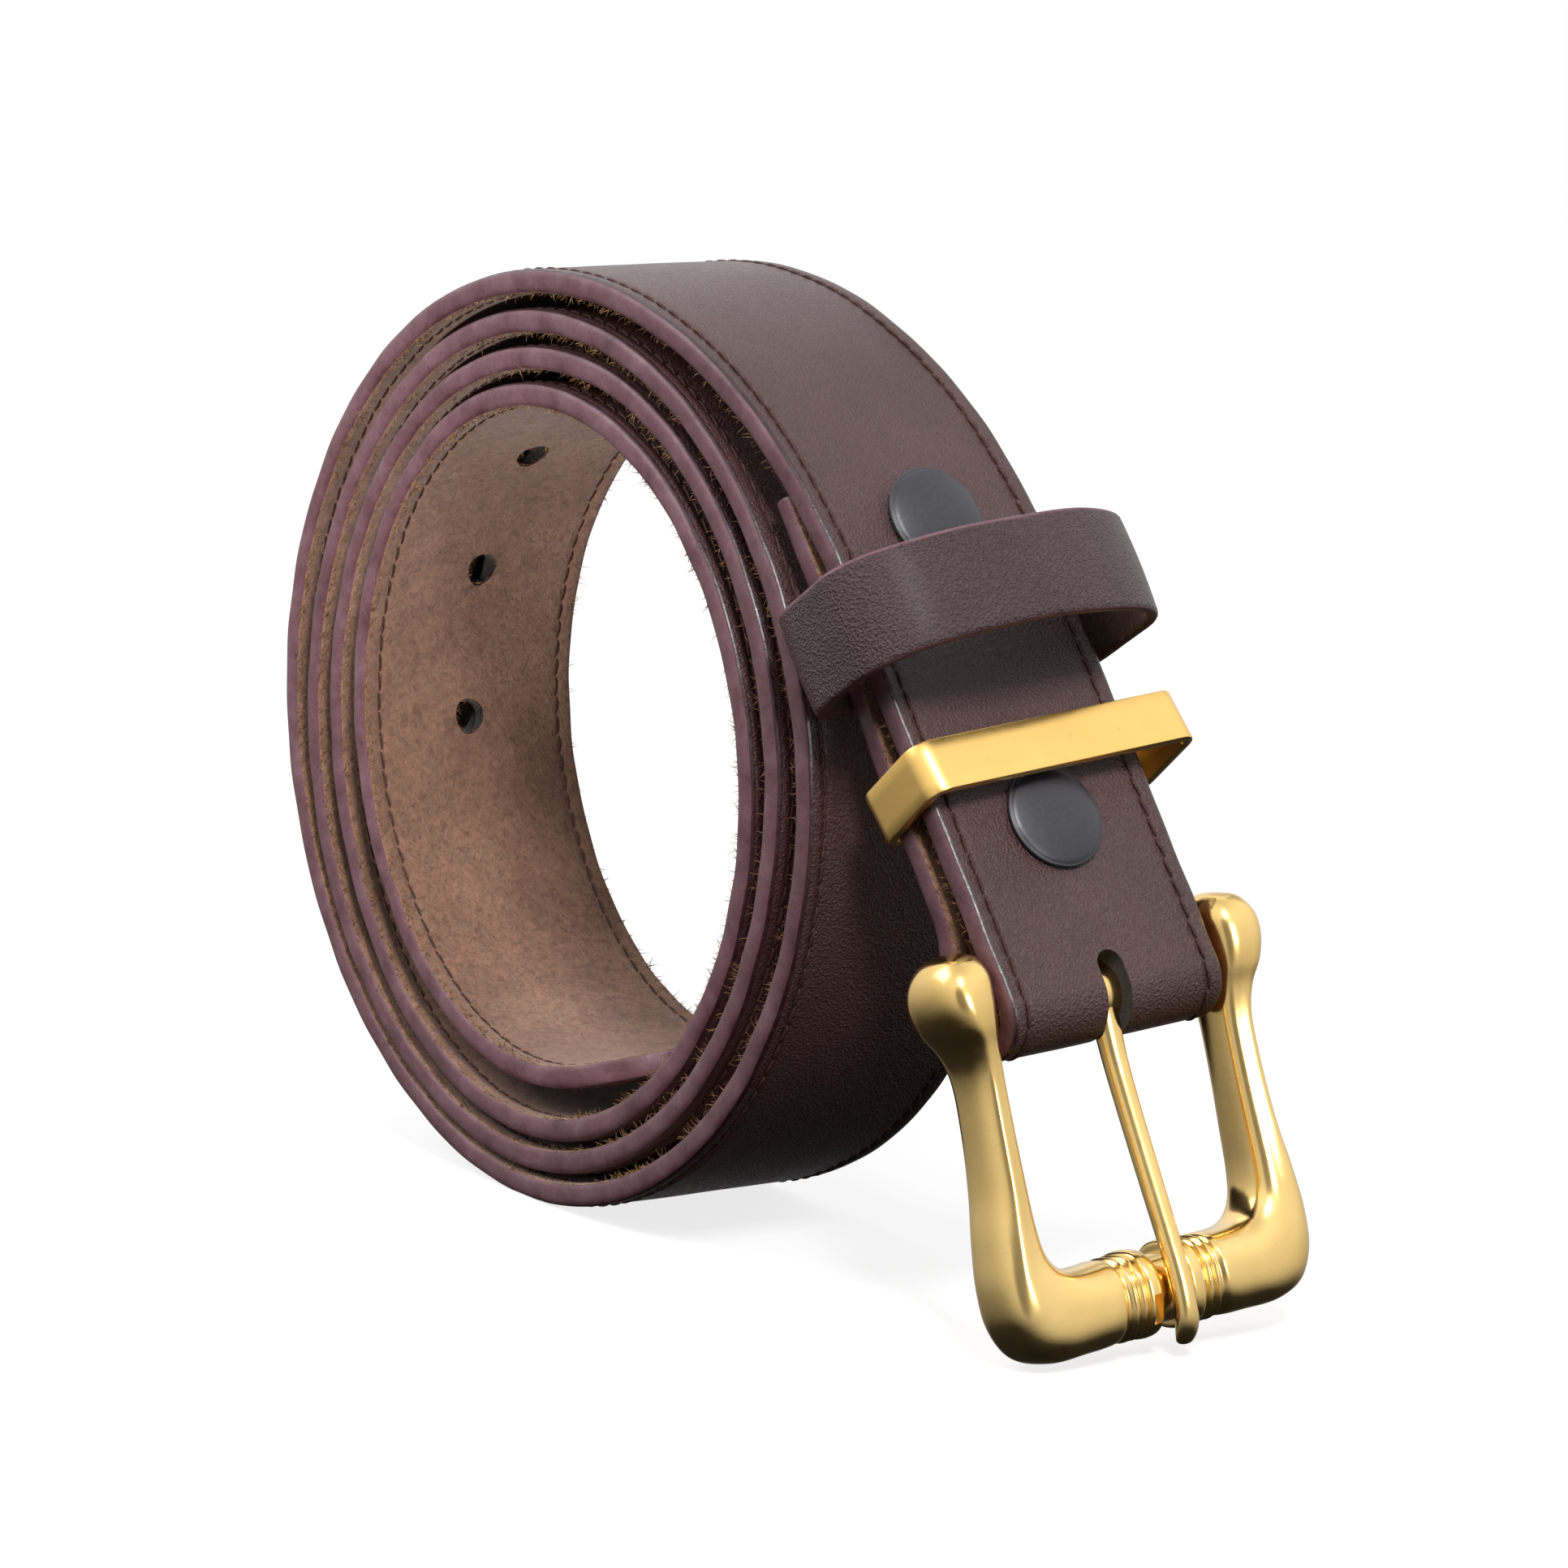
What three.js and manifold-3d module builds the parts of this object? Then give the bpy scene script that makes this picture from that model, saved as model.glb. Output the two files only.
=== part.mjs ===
// Leather belt, wound up and standing on its edge, buckle end hanging free.
// Millimetres, +Z up.  The origin is the middle of the flat patch the coil stands on;
// +Y runs along the width of the strap, +X points to the buckle side.
import * as THREE from 'three';
import { mergeVertices } from 'three/addons/utils/BufferGeometryUtils.js';
import Module from 'manifold-3d';

const wasm = await Module();
wasm.setup();

// ---------------------------------------------------------------- driving dimensions
const STRAP_W = 38.0;          // strap width (1 1/2 inch)
const STRAP_T = 3.5;           // strap thickness
const EDGE = 0.8;              // burnished edge, chamfer
const GROOVE_IN = 15.4, GROOVE_OUT = 16.9, GROOVE_D = 0.8;  // stitch groove, from the middle of the strap
const THREAD_W = 0.9, THREAD_H = 0.45;
const TIP_R = 17;              // length of the rounded tip
const HOLE_FIRST = 95.3, HOLE_PITCH = 24.4, HOLES = 5, HOLE_R = 2.2;

const TAIL_DEG = 33.45;      // slope of the buckle end from the vertical
const VEER_DEG = 4.5;          // the buckle end leaves the plane of the coil by this much
const VEER_RUN = 60;           // and starts to do so this far before the upper snap
const SNAP_1 = [66.41, 109.82];   // upper snap, point on the grain face in the X-Z plane
const SNAP_PITCH = 46;         // distance between the two snaps
const BAR_S = 70, BAR_R = 2.1, FOLD_R = 2.9;  // bar position along the tail, bar radius, inner radius of the fold
const FLAP_END = -9;           // the turned-back flap ends above the upper snap

const BUCKLE_DEG = 15.35;    // hang of the buckle frame from the vertical
const BUCKLE_LEN = 41.5;       // bar to the middle of the crossbar
const INNER_HALF = 19.7;       // half of the opening between the arms

// centre line of the strap in the X-Z plane, from the tip inside the coil to the upper snap
const LINE = [
  [22.21,24.19],[12.97,20.61],[3.45,18.78],[-6.10,18.88],[-15.42,20.96],[-24.19,24.93],[-32.11,30.64],
  [-38.87,37.84],[-44.23,46.22],[-47.94,55.44],[-49.84,65.12],[-49.85,74.88],[-47.98,84.38],[-44.29,93.26],
  [-38.94,101.22],[-32.14,107.97],[-24.16,113.30],[-15.29,117.00],[-5.86,118.97],[3.81,119.12],[13.38,117.47],
  [22.52,114.08],[30.92,109.08],[38.29,102.64],[44.38,95.00],[48.98,86.39],[51.93,77.10],[53.14,67.44],
  [52.56,57.69],[50.22,48.18],[46.24,39.21],[40.74,31.07],[33.92,24.02],[26.01,18.29],[17.26,14.08],
  [7.94,11.53],[-1.66,10.71],[-11.25,11.66],[-20.55,14.33],[-29.27,18.61],[-37.15,24.37],[-43.96,31.39],
  [-49.48,39.47],[-53.55,48.35],[-56.03,57.77],[-56.84,67.45],[-55.97,77.12],[-53.44,86.49],[-49.33,95.32],
  [-43.79,103.34],[-36.98,110.35],[-29.11,116.14],[-20.40,120.56],[-11.11,123.46],[-1.49,124.78],
  [8.19,124.47],[17.66,122.55],[26.67,119.09],[34.97,114.18],[42.34,107.98],[48.56,100.64],[53.48,92.37],
  [56.94,83.40],[58.85,73.95],[59.17,64.27],[57.87,54.62],[55.02,45.26],[50.70,36.41],[45.04,28.33],
  [38.18,21.23],[30.32,15.30],[21.66,10.70],[12.42,7.57],[2.84,6.00],[-6.85,6.02],[-16.41,7.62],
  [-25.60,10.76],[-34.19,15.33],[-41.96,21.21],[-48.73,28.24],[-54.32,36.23],[-58.58,44.98],[-61.40,54.27],
  [-62.70,63.87],[-62.45,73.56],[-60.65,83.09],[-57.36,92.25],[-52.67,100.82],[-46.70,108.60],[-39.60,115.40],
  [-31.55,121.06],[-22.73,125.44],[-13.36,128.44],[-3.66,129.98],[6.16,130.04],[15.87,128.60],[25.25,125.73],
  [34.09,121.50],[42.19,116.02],[49.37,109.42],[55.45,101.86],[60.31,93.52],[63.83,84.58],[65.92,75.25],
  [66.53,65.73],[65.67,56.23],[63.36,46.94],[59.65,38.07],[54.65,29.82],[48.48,22.34],[41.27,15.82],
  [33.18,10.39],[24.39,6.17],[15.09,3.26],[5.47,1.73],[-4.28,1.60],[-13.95,2.87],[-23.35,5.51],[-32.29,9.46],
  [-40.59,14.62],[-48.09,20.88],[-54.62,28.11],[-60.04,36.15],[-64.26,44.83],[-67.15,53.99],[-68.67,63.43],
  [-68.78,72.97],[-67.45,82.41],[-64.72,91.58],[-60.63,100.28],[-55.26,108.35],[-48.72,115.63],
  [-41.12,121.97],[-32.63,127.25],[-23.40,131.37],[-13.62,134.26],[-3.50,135.87],[6.75,136.19],[16.89,135.26],
  [26.70,133.11],[35.99,129.83],[44.61,125.50],[52.45,120.19],[59.51,113.98],[65.86,106.98],
];

// ---------------------------------------------------------------- frames
const V3 = (x, y, z) => new THREE.Vector3(x, y, z);
const rad = THREE.MathUtils.degToRad;
const mix = (a, b, f) => a + (b - a) * f;
const smooth = (a, b, x) => { const f = Math.min(1, Math.max(0, (x - a) / (b - a))); return f * f * (3 - 2 * f); };

const ta = rad(TAIL_DEG), va = rad(VEER_DEG);
const tIn = V3(Math.sin(ta), 0, -Math.cos(ta));      // down the tail, in the X-Z plane
const nT = V3(Math.cos(ta), 0, Math.sin(ta));        // out of the grain face
const Y = V3(0, 1, 0);
const dT = tIn.clone().multiplyScalar(Math.cos(va)).addScaledVector(Y, Math.sin(va));
const wT = Y.clone().multiplyScalar(Math.cos(va)).addScaledVector(tIn, -Math.sin(va));
const yAtSnap = Math.tan(va) * VEER_RUN / 2;
const O = V3(SNAP_1[0], yAtSnap, SNAP_1[1]);
// point of the tail frame: s down the tail from the upper snap, w across, n out of the grain face
const P = (s, w, n) => O.clone().addScaledVector(dT, s).addScaledVector(wT, w).addScaledVector(nT, n);
// a matrix whose x, y, z run along w, n-turned and so on
const frameAt = (origin, ex, ey, ez) => new THREE.Matrix4().makeBasis(ex, ey, ez).setPosition(origin);

// ---------------------------------------------------------------- solids
function clean(geometry) {
  let g = geometry.clone();
  for (const k of Object.keys(g.attributes)) if (k !== 'position') g.deleteAttribute(k);
  g = mergeVertices(g, 1e-4);
  const idx = g.index.array, out = [];
  for (let i = 0; i < idx.length; i += 3) {
    const [a, b, c] = [idx[i], idx[i + 1], idx[i + 2]];
    if (a !== b && b !== c && a !== c) out.push(a, b, c);
  }
  g.setIndex(out);
  return g;
}
function volume(g) {
  const p = g.attributes.position, i = g.index.array; let v = 0;
  const a = V3(), b = V3(), c = V3();
  for (let k = 0; k < i.length; k += 3) {
    a.fromBufferAttribute(p, i[k]); b.fromBufferAttribute(p, i[k + 1]); c.fromBufferAttribute(p, i[k + 2]);
    v += a.dot(b.clone().cross(c)) / 6;
  }
  return v;
}
function outward(geometry) {
  const g = clean(geometry);
  if (volume(g) < 0) { const i = g.index.array; for (let k = 0; k < i.length; k += 3) { const t = i[k]; i[k] = i[k + 1]; i[k + 1] = t; } }
  return g;
}
function toManifold(geometry) {
  const g = outward(geometry);
  return new wasm.Manifold(new wasm.Mesh({ numProp: 3, vertProperties: new Float32Array(g.attributes.position.array), triVerts: new Uint32Array(g.index.array) }));
}
function fromManifold(m) {
  const mesh = m.getMesh(), g = new THREE.BufferGeometry();
  g.setAttribute('position', new THREE.BufferAttribute(new Float32Array(mesh.vertProperties), 3));
  g.setIndex(Array.from(mesh.triVerts));
  return g;
}
const cut = (g, tools) => { let m = toManifold(g); for (const t of tools) m = m.subtract(toManifold(t)); return fromManifold(m); };

// triangles of a 2-D outline, wound the way the outline is
function capFaces(pts) {
  const way = Math.sign(THREE.ShapeUtils.area(pts)), v = (a, b, c) => (b.x - a.x) * (c.y - a.y) - (b.y - a.y) * (c.x - a.x);
  return THREE.ShapeUtils.triangulateShape(pts, []).map(([a, b, c]) => Math.sign(v(pts[a], pts[b], pts[c])) === way ? [a, b, c] : [a, c, b]);
}
// closed body through a list of rings of equal length; the ends are capped with cap, a list of 2-D points of one ring
function loft(rings, capA, capB, loop = false) {
  const n = rings[0].length, pos = [], idx = [];
  for (const r of rings) for (const p of r) pos.push(p.x, p.y, p.z);
  const R = rings.length, last = loop ? R : R - 1;
  for (let i = 0; i < last; i++) for (let j = 0; j < n; j++) {
    const a = i * n + j, b = i * n + (j + 1) % n, c = ((i + 1) % R) * n + j, d = ((i + 1) % R) * n + (j + 1) % n;
    idx.push(a, b, d, a, d, c);
  }
  if (!loop) {
    const fa = capFaces(capA), fb = capFaces(capB || capA);
    for (const f of fa) idx.push(f[0], f[2], f[1]);
    const o = (R - 1) * n;
    for (const f of fb) idx.push(o + f[0], o + f[1], o + f[2]);
  }
  const g = new THREE.BufferGeometry();
  g.setAttribute('position', new THREE.Float32BufferAttribute(pos, 3));
  g.setIndex(idx);
  return g;
}
const V2 = (x, y) => new THREE.Vector2(x, y);

// ---------------------------------------------------------------- the strap's path
// gap between the strap and its turned-back flap, along the tail
const gap = (s) => 1.6 + 1.2 * smooth(14, 40, s) + 3.0 * smooth(54, 65, s);
const stations = [];           // { p centre, N outward (grain), W across, hw half width }
{
  const y = [], veer = [], arc = [0];
  for (let i = 1; i < LINE.length; i++) arc.push(arc[i - 1] + Math.hypot(LINE[i][0] - LINE[i - 1][0], LINE[i][1] - LINE[i - 1][1]));
  const total = arc[arc.length - 1] - 2;           // the last point lies 2 mm below the upper snap
  for (let i = 0; i < LINE.length; i++) {
    const s = arc[i] - total, f = Math.min(1, Math.max(0, (s + VEER_RUN) / VEER_RUN));
    veer.push(va * f);
    y.push(s >= 0 ? yAtSnap + Math.tan(va) * s : Math.tan(va) * VEER_RUN * f * f / 2);
  }
  const put = (x, yy, z, tx, tz, ps, hw) => {
    const t = V3(tx, 0, tz), N = V3(-tz, 0, tx);    // the strap runs clockwise: the grain is on its left
    const W = Y.clone().multiplyScalar(Math.cos(ps)).addScaledVector(t, -Math.sin(ps));
    stations.push({ p: V3(x, yy, z), N, W, hw, t: t.clone().multiplyScalar(Math.cos(ps)).addScaledVector(Y, Math.sin(ps)) });
  };
  const tip = [0.0, 0.9, 2.6, 5.2, 8.6, 12.6];
  const tan = (i) => { const a = LINE[Math.max(0, i - 1)], b = LINE[Math.min(LINE.length - 1, i + 1)]; const l = Math.hypot(b[0] - a[0], b[1] - a[1]); return [(b[0] - a[0]) / l, (b[1] - a[1]) / l]; };
  const hwAt = (x) => x >= TIP_R ? STRAP_W / 2 : Math.max(3.6, STRAP_W / 2 * Math.sqrt(1 - (1 - x / TIP_R) ** 2));
  for (const x of tip) {
    let i = 0; while (arc[i + 1] < x) i++;
    const f = (x - arc[i]) / (arc[i + 1] - arc[i]), ta_ = tan(i), tb_ = tan(i + 1);
    const tx = mix(ta_[0], tb_[0], f), tz = mix(ta_[1], tb_[1], f), l = Math.hypot(tx, tz);
    put(mix(LINE[i][0], LINE[i + 1][0], f), 0, mix(LINE[i][1], LINE[i + 1][1], f), tx / l, tz / l, 0, hwAt(x));
  }
  for (let i = 2; i < LINE.length; i++) { const [tx, tz] = i === LINE.length - 1 ? [tIn.x, tIn.z] : tan(i); put(LINE[i][0], y[i], LINE[i][1], tx, tz, veer[i], STRAP_W / 2); }
}
const NEG = (v) => v.clone().negate();
const HALF = STRAP_T / 2;
const COIL_END = stations.length;
for (const s of [14, 27, 40, 52, 60, 66, 70]) stations.push({ p: P(s, 0, -HALF), N: nT.clone(), W: wT.clone(), hw: STRAP_W / 2 });
const BAR = P(BAR_S, 0, -STRAP_T - FOLD_R);
for (let k = 1; k <= 8; k++) {
  const a = Math.PI * k / 9, N = nT.clone().multiplyScalar(Math.cos(a)).addScaledVector(dT, Math.sin(a));
  stations.push({ p: BAR.clone().addScaledVector(N, FOLD_R + HALF), N, W: wT.clone(), hw: STRAP_W / 2 });
}
const flapS = [70, 66, 63, 60, 57, 54, 46, 38, 31, 24, 17, 10, 0, FLAP_END];
for (const s of flapS) {
  const c = (q) => -STRAP_T - (q > 65 ? 2 * FOLD_R : gap(q)) - HALF;
  const h = 0.5, dn = (c(Math.min(70, s + h)) - c(s - h)) / (2 * h);   // slope of the flap against the strap
  const N = NEG(nT).addScaledVector(dT, dn).normalize();
  stations.push({ p: P(s, 0, c(s)), N, W: wT.clone(), hw: STRAP_W / 2 });
}

// cross-section of the strap, w across and h outwards (0 = grain), for half width hw
function section(hw) {
  const k = hw / (STRAP_W / 2), e = EDGE, g = GROOVE_D, T = STRAP_T, H = STRAP_W / 2;
  const w = [[-H, -e], [-H + e, 0], [-GROOVE_OUT, 0], [-GROOVE_OUT, -g], [-GROOVE_IN, -g], [-GROOVE_IN, 0],
    [GROOVE_IN, 0], [GROOVE_IN, -g], [GROOVE_OUT, -g], [GROOVE_OUT, 0], [H - e, 0], [H, -e],
    [H, -T + e], [H - e, -T], [-H + e, -T], [-H, -T + e]];
  return w.map(([a, b]) => V2(a * k, b));
}
const ringOf = (st, sec) => sec.map((q) => {
  const p = st.p.clone().addScaledVector(st.W, q.x).addScaledVector(st.N, q.y + HALF);
  if (q.y > -HALF) p.z += st.rise || 0;
  return p;
});

// the flat patch that the coil stands on: where the grain side would dip below the floor, that side is pressed up to it
for (const st of stations) {
  const z = Math.min(...ringOf({ ...st, rise: 0 }, section(st.hw)).map((p) => p.z));
  st.rise = z < 0.02 && Math.abs(st.p.x) < 30 ? -z : 0;
}
const strapRings = stations.map((st) => ringOf(st, section(st.hw)));
let strap = loft(strapRings, section(stations[0].hw), section(STRAP_W / 2));

// ---------------------------------------------------------------- holes of the strap
// a round bar with rounded-rectangle or circular outline along the local z of a matrix
function rod(m, r, z0, z1, seg = 12, sx = 1) {
  const g = new THREE.CylinderGeometry(r, r, z1 - z0, seg); g.rotateX(Math.PI / 2); g.translate(0, 0, (z0 + z1) / 2); g.scale(sx, 1, 1); g.applyMatrix4(m); return g;
}
const tools = [];
{
  // arc length of the stations, to find the belt holes
  let s = 0; const at = [0];
  for (let i = 1; i < COIL_END; i++) { s += stations[i].p.distanceTo(stations[i - 1].p); at.push(s); }
  for (let k = 0; k < HOLES; k++) {
    const x = HOLE_FIRST + k * HOLE_PITCH; let i = 0; while (at[i + 1] < x) i++;
    const f = (x - at[i]) / (at[i + 1] - at[i]), a = stations[i], b = stations[i + 1];
    const p = a.p.clone().lerp(b.p, f), N = a.N.clone().lerp(b.N, f).normalize(), W = a.W.clone(), t = W.clone().cross(N).normalize();
    tools.push(rod(frameAt(p, W, N.clone().cross(W).normalize(), N), HOLE_R, -3.4, 3.4, 12));
  }
}
const SNAPS = [0, SNAP_PITCH];
const stackOf = (s) => { const g = gap(s), rec = (3.8 - g) / 2; return { H0: -STRAP_T + rec, H1: -STRAP_T - g - rec, rec, g }; };
const snapFrame = (s) => frameAt(P(s, 0, 0), wT, nT.clone().cross(wT).normalize(), nT);
for (const s of SNAPS) {
  const m = snapFrame(s), k = stackOf(s);
  tools.push(rod(m, 2.6, -STRAP_T - 0.6, 0.8, 16));                          // hole for the cap's barrel
  tools.push(rod(m, 2.1, -2 * STRAP_T - k.g - 0.8, -STRAP_T - k.g + 0.6, 16)); // hole for the post, in the flap
  tools.push(rod(m, 6.3, -STRAP_T - k.g + 0.25, k.H0, 20));                  // seats pressed into the flesh
  tools.push(rod(m, 6.0, k.H1, -STRAP_T - k.g + 0.41, 20));
  tools.push(rod(m, 4.6, -2 * STRAP_T - k.g - 0.6, -2 * STRAP_T - k.g + 0.9, 16)); // seat of the post's head
}
// slot for the prong, across the fold
{
  const half = 2.7, a = 65, top = 3;
  const sh = new THREE.Shape(); sh.absarc(0, 0, half, 0, Math.PI, false); sh.lineTo(-half, -30); sh.lineTo(half, -30); sh.closePath();
  const g = new THREE.ExtrudeGeometry(sh, { depth: 2 * STRAP_T + 6 + 6, bevelEnabled: false, curveSegments: 10 });
  // local x = w, local y = back up the tail, local z = out of the grain
  g.applyMatrix4(frameAt(P(a + half, 0, -2 * STRAP_T - 6 - top), wT, NEG(dT), wT.clone().cross(NEG(dT)).normalize()));
  tools.push(g);
}
strap = cut(strap, tools);

// ---------------------------------------------------------------- stitching
function thread(sign) {
  const w0 = sign * (GROOVE_IN + GROOVE_OUT) / 2, h0 = -GROOVE_D + 0.3, a = THREAD_W / 2;
  const sec = [V2(w0 - a, h0), V2(w0 + a, h0), V2(w0 + a, h0 + THREAD_H * 0.6), V2(w0, h0 + THREAD_H), V2(w0 - a, h0 + THREAD_H * 0.6)];
  const use = stations.slice(6, stations.length - 1);
  return outward(loft(use.map((st) => ringOf(st, sec)), sec));
}

// ---------------------------------------------------------------- snaps
const SEG = 18;
function lathe(pts, m, seg = SEG) {
  const g = new THREE.LatheGeometry(pts.map(([r, h]) => V2(r, h)), seg);   // axis = local y
  g.rotateX(Math.PI / 2);                                                 // axis to local z
  g.applyMatrix4(m); return outward(g);
}
const closed = (pts) => [...pts, pts[0]];
function snapParts(s) {
  const m = snapFrame(s), { H0, H1, g } = stackOf(s), F = -2 * STRAP_T - g;   // F: outer face of the flap
  const cap = lathe([[0, 2.05], [2.6, 1.95], [4.9, 1.6], [6.5, 1.15], [7.4, 0.8], [7.65, 0.55], [7.45, 0.3], [2.1, 0.3], [2.1, H0 - 1.05], [2.9, H0 - 1.05], [2.9, H0 - 1.25], [0, H0 - 1.25]], m, 22);
  const socket = lathe(closed([[2.45, H0 - 0.3], [5.2, H0 - 0.3], [5.7, H0 - 0.7], [5.7, H0 - 2.2], [4.15, H0 - 2.2], [4.15, H0 - 0.75], [2.45, H0 - 0.75]]), m);
  const stud = lathe(closed([[1.9, H1 + 0.3], [5.4, H1 + 0.3], [5.4, H1 + 0.75], [5.0, H1 + 1.1], [2.75, H1 + 1.1], [2.75, H0 - 2.2], [2.9, H0 - 2.0], [2.7, H0 - 1.55], [1.9, H0 - 1.55]]), m);
  const post = lathe([[0, F - 0.1], [3.6, F - 0.05], [4.2, F + 0.2], [4.2, F + 0.6], [1.6, F + 0.6], [1.6, H0 - 1.7], [0, H0 - 1.7]], m);
  // split ring spring inside the socket
  const c = new THREE.Shape(); const a0 = 0.35, a1 = 2 * Math.PI - 0.35, r0 = 3.25, r1 = 3.85;
  c.absarc(0, 0, r1, a0, a1, false); c.absarc(0, 0, r0, a1, a0, true); c.closePath();
  const sg = new THREE.ExtrudeGeometry(c, { depth: 0.5, bevelEnabled: false, curveSegments: 12 });
  sg.translate(0, 0, H0 - 2.0); sg.applyMatrix4(m);
  return { cap, socket, stud, post, spring: outward(sg) };
}

// ---------------------------------------------------------------- leather keeper
const KEEPER = { s0: 7.3, width: 15.4, a: 26.2, up: 13.2, down: 15.65, n0: 4.0, w0: -0.4, t: 1.7, pu: 2.1, pd: 6.5 };
const superPoint = (phi, a, up, down) => {
  const c = Math.cos(phi), s = Math.sin(phi), p = s >= 0 ? KEEPER.pu : KEEPER.pd, b = s >= 0 ? up : down;
  return V2(KEEPER.w0 + a * Math.sign(c) * Math.abs(c) ** (2 / p), KEEPER.n0 + b * Math.sign(s) * Math.abs(s) ** (2 / p));
};
function keeperOutline(off, n = 44) {
  // dense walk round the closed curve, starting and ending at the joint in the middle of the back
  const pts = [], N = 720, a = KEEPER.a - off, up = KEEPER.up - off, down = KEEPER.down - off;
  const raw = []; for (let i = 0; i <= N; i++) raw.push(superPoint(-Math.PI / 2 + 2 * Math.PI * i / N, a, up, down));
  const len = [0]; for (let i = 1; i <= N; i++) len.push(len[i - 1] + raw[i].distanceTo(raw[i - 1]));
  const L = len[N], joint = 0.3;
  for (let k = 0; k <= n; k++) { const x = joint + (L - 2 * joint) * k / n; let i = 0; while (len[i + 1] < x) i++; pts.push(raw[i].clone().lerp(raw[i + 1], (x - len[i]) / (len[i + 1] - len[i]))); }
  return pts;
}
const keeperMatrix = frameAt(P(KEEPER.s0, 0, 0), wT, nT, wT.clone().cross(nT).normalize());
const keeperSign = Math.sign(wT.clone().cross(nT).dot(dT));
function leatherKeeper() {
  const out = keeperOutline(0), inn = keeperOutline(KEEPER.t), sh = new THREE.Shape([...out, ...inn.reverse()]);
  const g = new THREE.ExtrudeGeometry(sh, { depth: KEEPER.width, bevelEnabled: false });
  if (keeperSign < 0) g.translate(0, 0, -KEEPER.width);
  g.applyMatrix4(keeperMatrix);
  const back = KEEPER.n0 - KEEPER.down, legs = [-2.6, 2.6].map((x) => rod(frameAt(P(KEEPER.s0 + KEEPER.width / 2, KEEPER.w0 + x, back + 0.6), wT, dT, wT.clone().cross(dT).normalize()), 0.75, -2.2, 2.2, 8));
  return cut(g, legs);
}
function keeperStaple() {
  // crown outside the joint, legs through the leather, ends turned in inside
  const back = KEEPER.n0 - KEEPER.down, o = back - 0.35, i = back + KEEPER.t + 0.3, q = 0.4;
  const pts = [[-2.6 - q, o - 2 * q], [2.6 + q, o - 2 * q], [2.6 + q, i + 0.7], [0.5, i + 0.7], [0.5, i + 0.1], [2.6 - q, i + 0.1], [2.6 - q, o], [-2.6 + q, o], [-2.6 + q, i + 0.1], [-0.5, i + 0.1], [-0.5, i + 0.7], [-2.6 - q, i + 0.7]];
  const g = new THREE.ExtrudeGeometry(new THREE.Shape(pts.map(([x, y]) => V2(x + KEEPER.w0, y))), { depth: 0.8, bevelEnabled: false });
  g.translate(0, 0, keeperSign * KEEPER.width / 2 - 0.4);
  g.applyMatrix4(keeperMatrix); return outward(g);
}

// ---------------------------------------------------------------- metal keeper
const LOOP = { s0: 32.7, width: 7.8, half: 24.0, w0: 2.9, top: 4.2, bottom: -12.25, t: 1.6, r: 3.2, tilt: -0.124, turn: 1.1 };
function metalKeeper() {
  const hx = LOOP.half, hy = (LOOP.top - LOOP.bottom) / 2, mid = (LOOP.top + LOOP.bottom) / 2;
  const rr = (x, y, r) => { const s = new THREE.Path(); s.moveTo(-x + r, -y); s.lineTo(x - r, -y); s.absarc(x - r, -y + r, r, -Math.PI / 2, 0); s.lineTo(x, y - r); s.absarc(x - r, y - r, r, 0, Math.PI / 2); s.lineTo(-x + r, y); s.absarc(-x + r, y - r, r, Math.PI / 2, Math.PI); s.lineTo(-x, -y + r); s.absarc(-x + r, -y + r, r, Math.PI, 1.5 * Math.PI); return s; };
  const o = new THREE.Shape(rr(hx, hy, LOOP.r).getPoints(6)), i = rr(hx - LOOP.t, hy - LOOP.t, LOOP.r - LOOP.t + 0.4).getPoints(6);
  o.holes.push(new THREE.Path(i));
  const g = new THREE.ExtrudeGeometry(o, { depth: LOOP.width, bevelEnabled: false });
  g.translate(0, 0, -LOOP.width / 2);
  // local x = w, y = n', z = s', the loop leaning by its tilt
  const al = Math.atan(LOOP.tilt), tu = rad(LOOP.turn), w2 = wT.clone().multiplyScalar(Math.cos(tu)).addScaledVector(dT, -Math.sin(tu));
  const n2 = nT.clone().multiplyScalar(Math.cos(al)).addScaledVector(dT, Math.sin(al)); n2.addScaledVector(w2, -n2.dot(w2)).normalize();
  const s2 = w2.clone().cross(n2).normalize();
  const c = P(LOOP.s0 + LOOP.width / 2 + LOOP.tilt * mid, LOOP.w0, mid);
  g.applyMatrix4(frameAt(c, w2, n2, s2)); return outward(g);
}

// ---------------------------------------------------------------- buckle
const sk = rad(1.2), ba = rad(BUCKLE_DEG);
const tB = V3(Math.sin(ba), 0, -Math.cos(ba));
let eB = tB.clone().multiplyScalar(Math.cos(va)).addScaledVector(Y, Math.sin(va)); eB.addScaledVector(wT, -eB.dot(wT)).normalize();
const mB = wT.clone().cross(eB).multiplyScalar(Math.sign(wT.clone().cross(eB).dot(nT))).normalize();   // out of the front face
const BW0 = 0.25;                                    // side play of the frame on the strap
const OB = P(BAR_S, BW0, -STRAP_T - FOLD_R);
const eS = eB.clone().multiplyScalar(Math.cos(sk)).addScaledVector(wT, Math.sin(sk)), wS = wT.clone().multiplyScalar(Math.cos(sk)).addScaledVector(eB, -Math.sin(sk));
const B = (u, v, h) => OB.clone().addScaledVector(wS, u).addScaledVector(eS, v).addScaledVector(mB, h);
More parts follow.
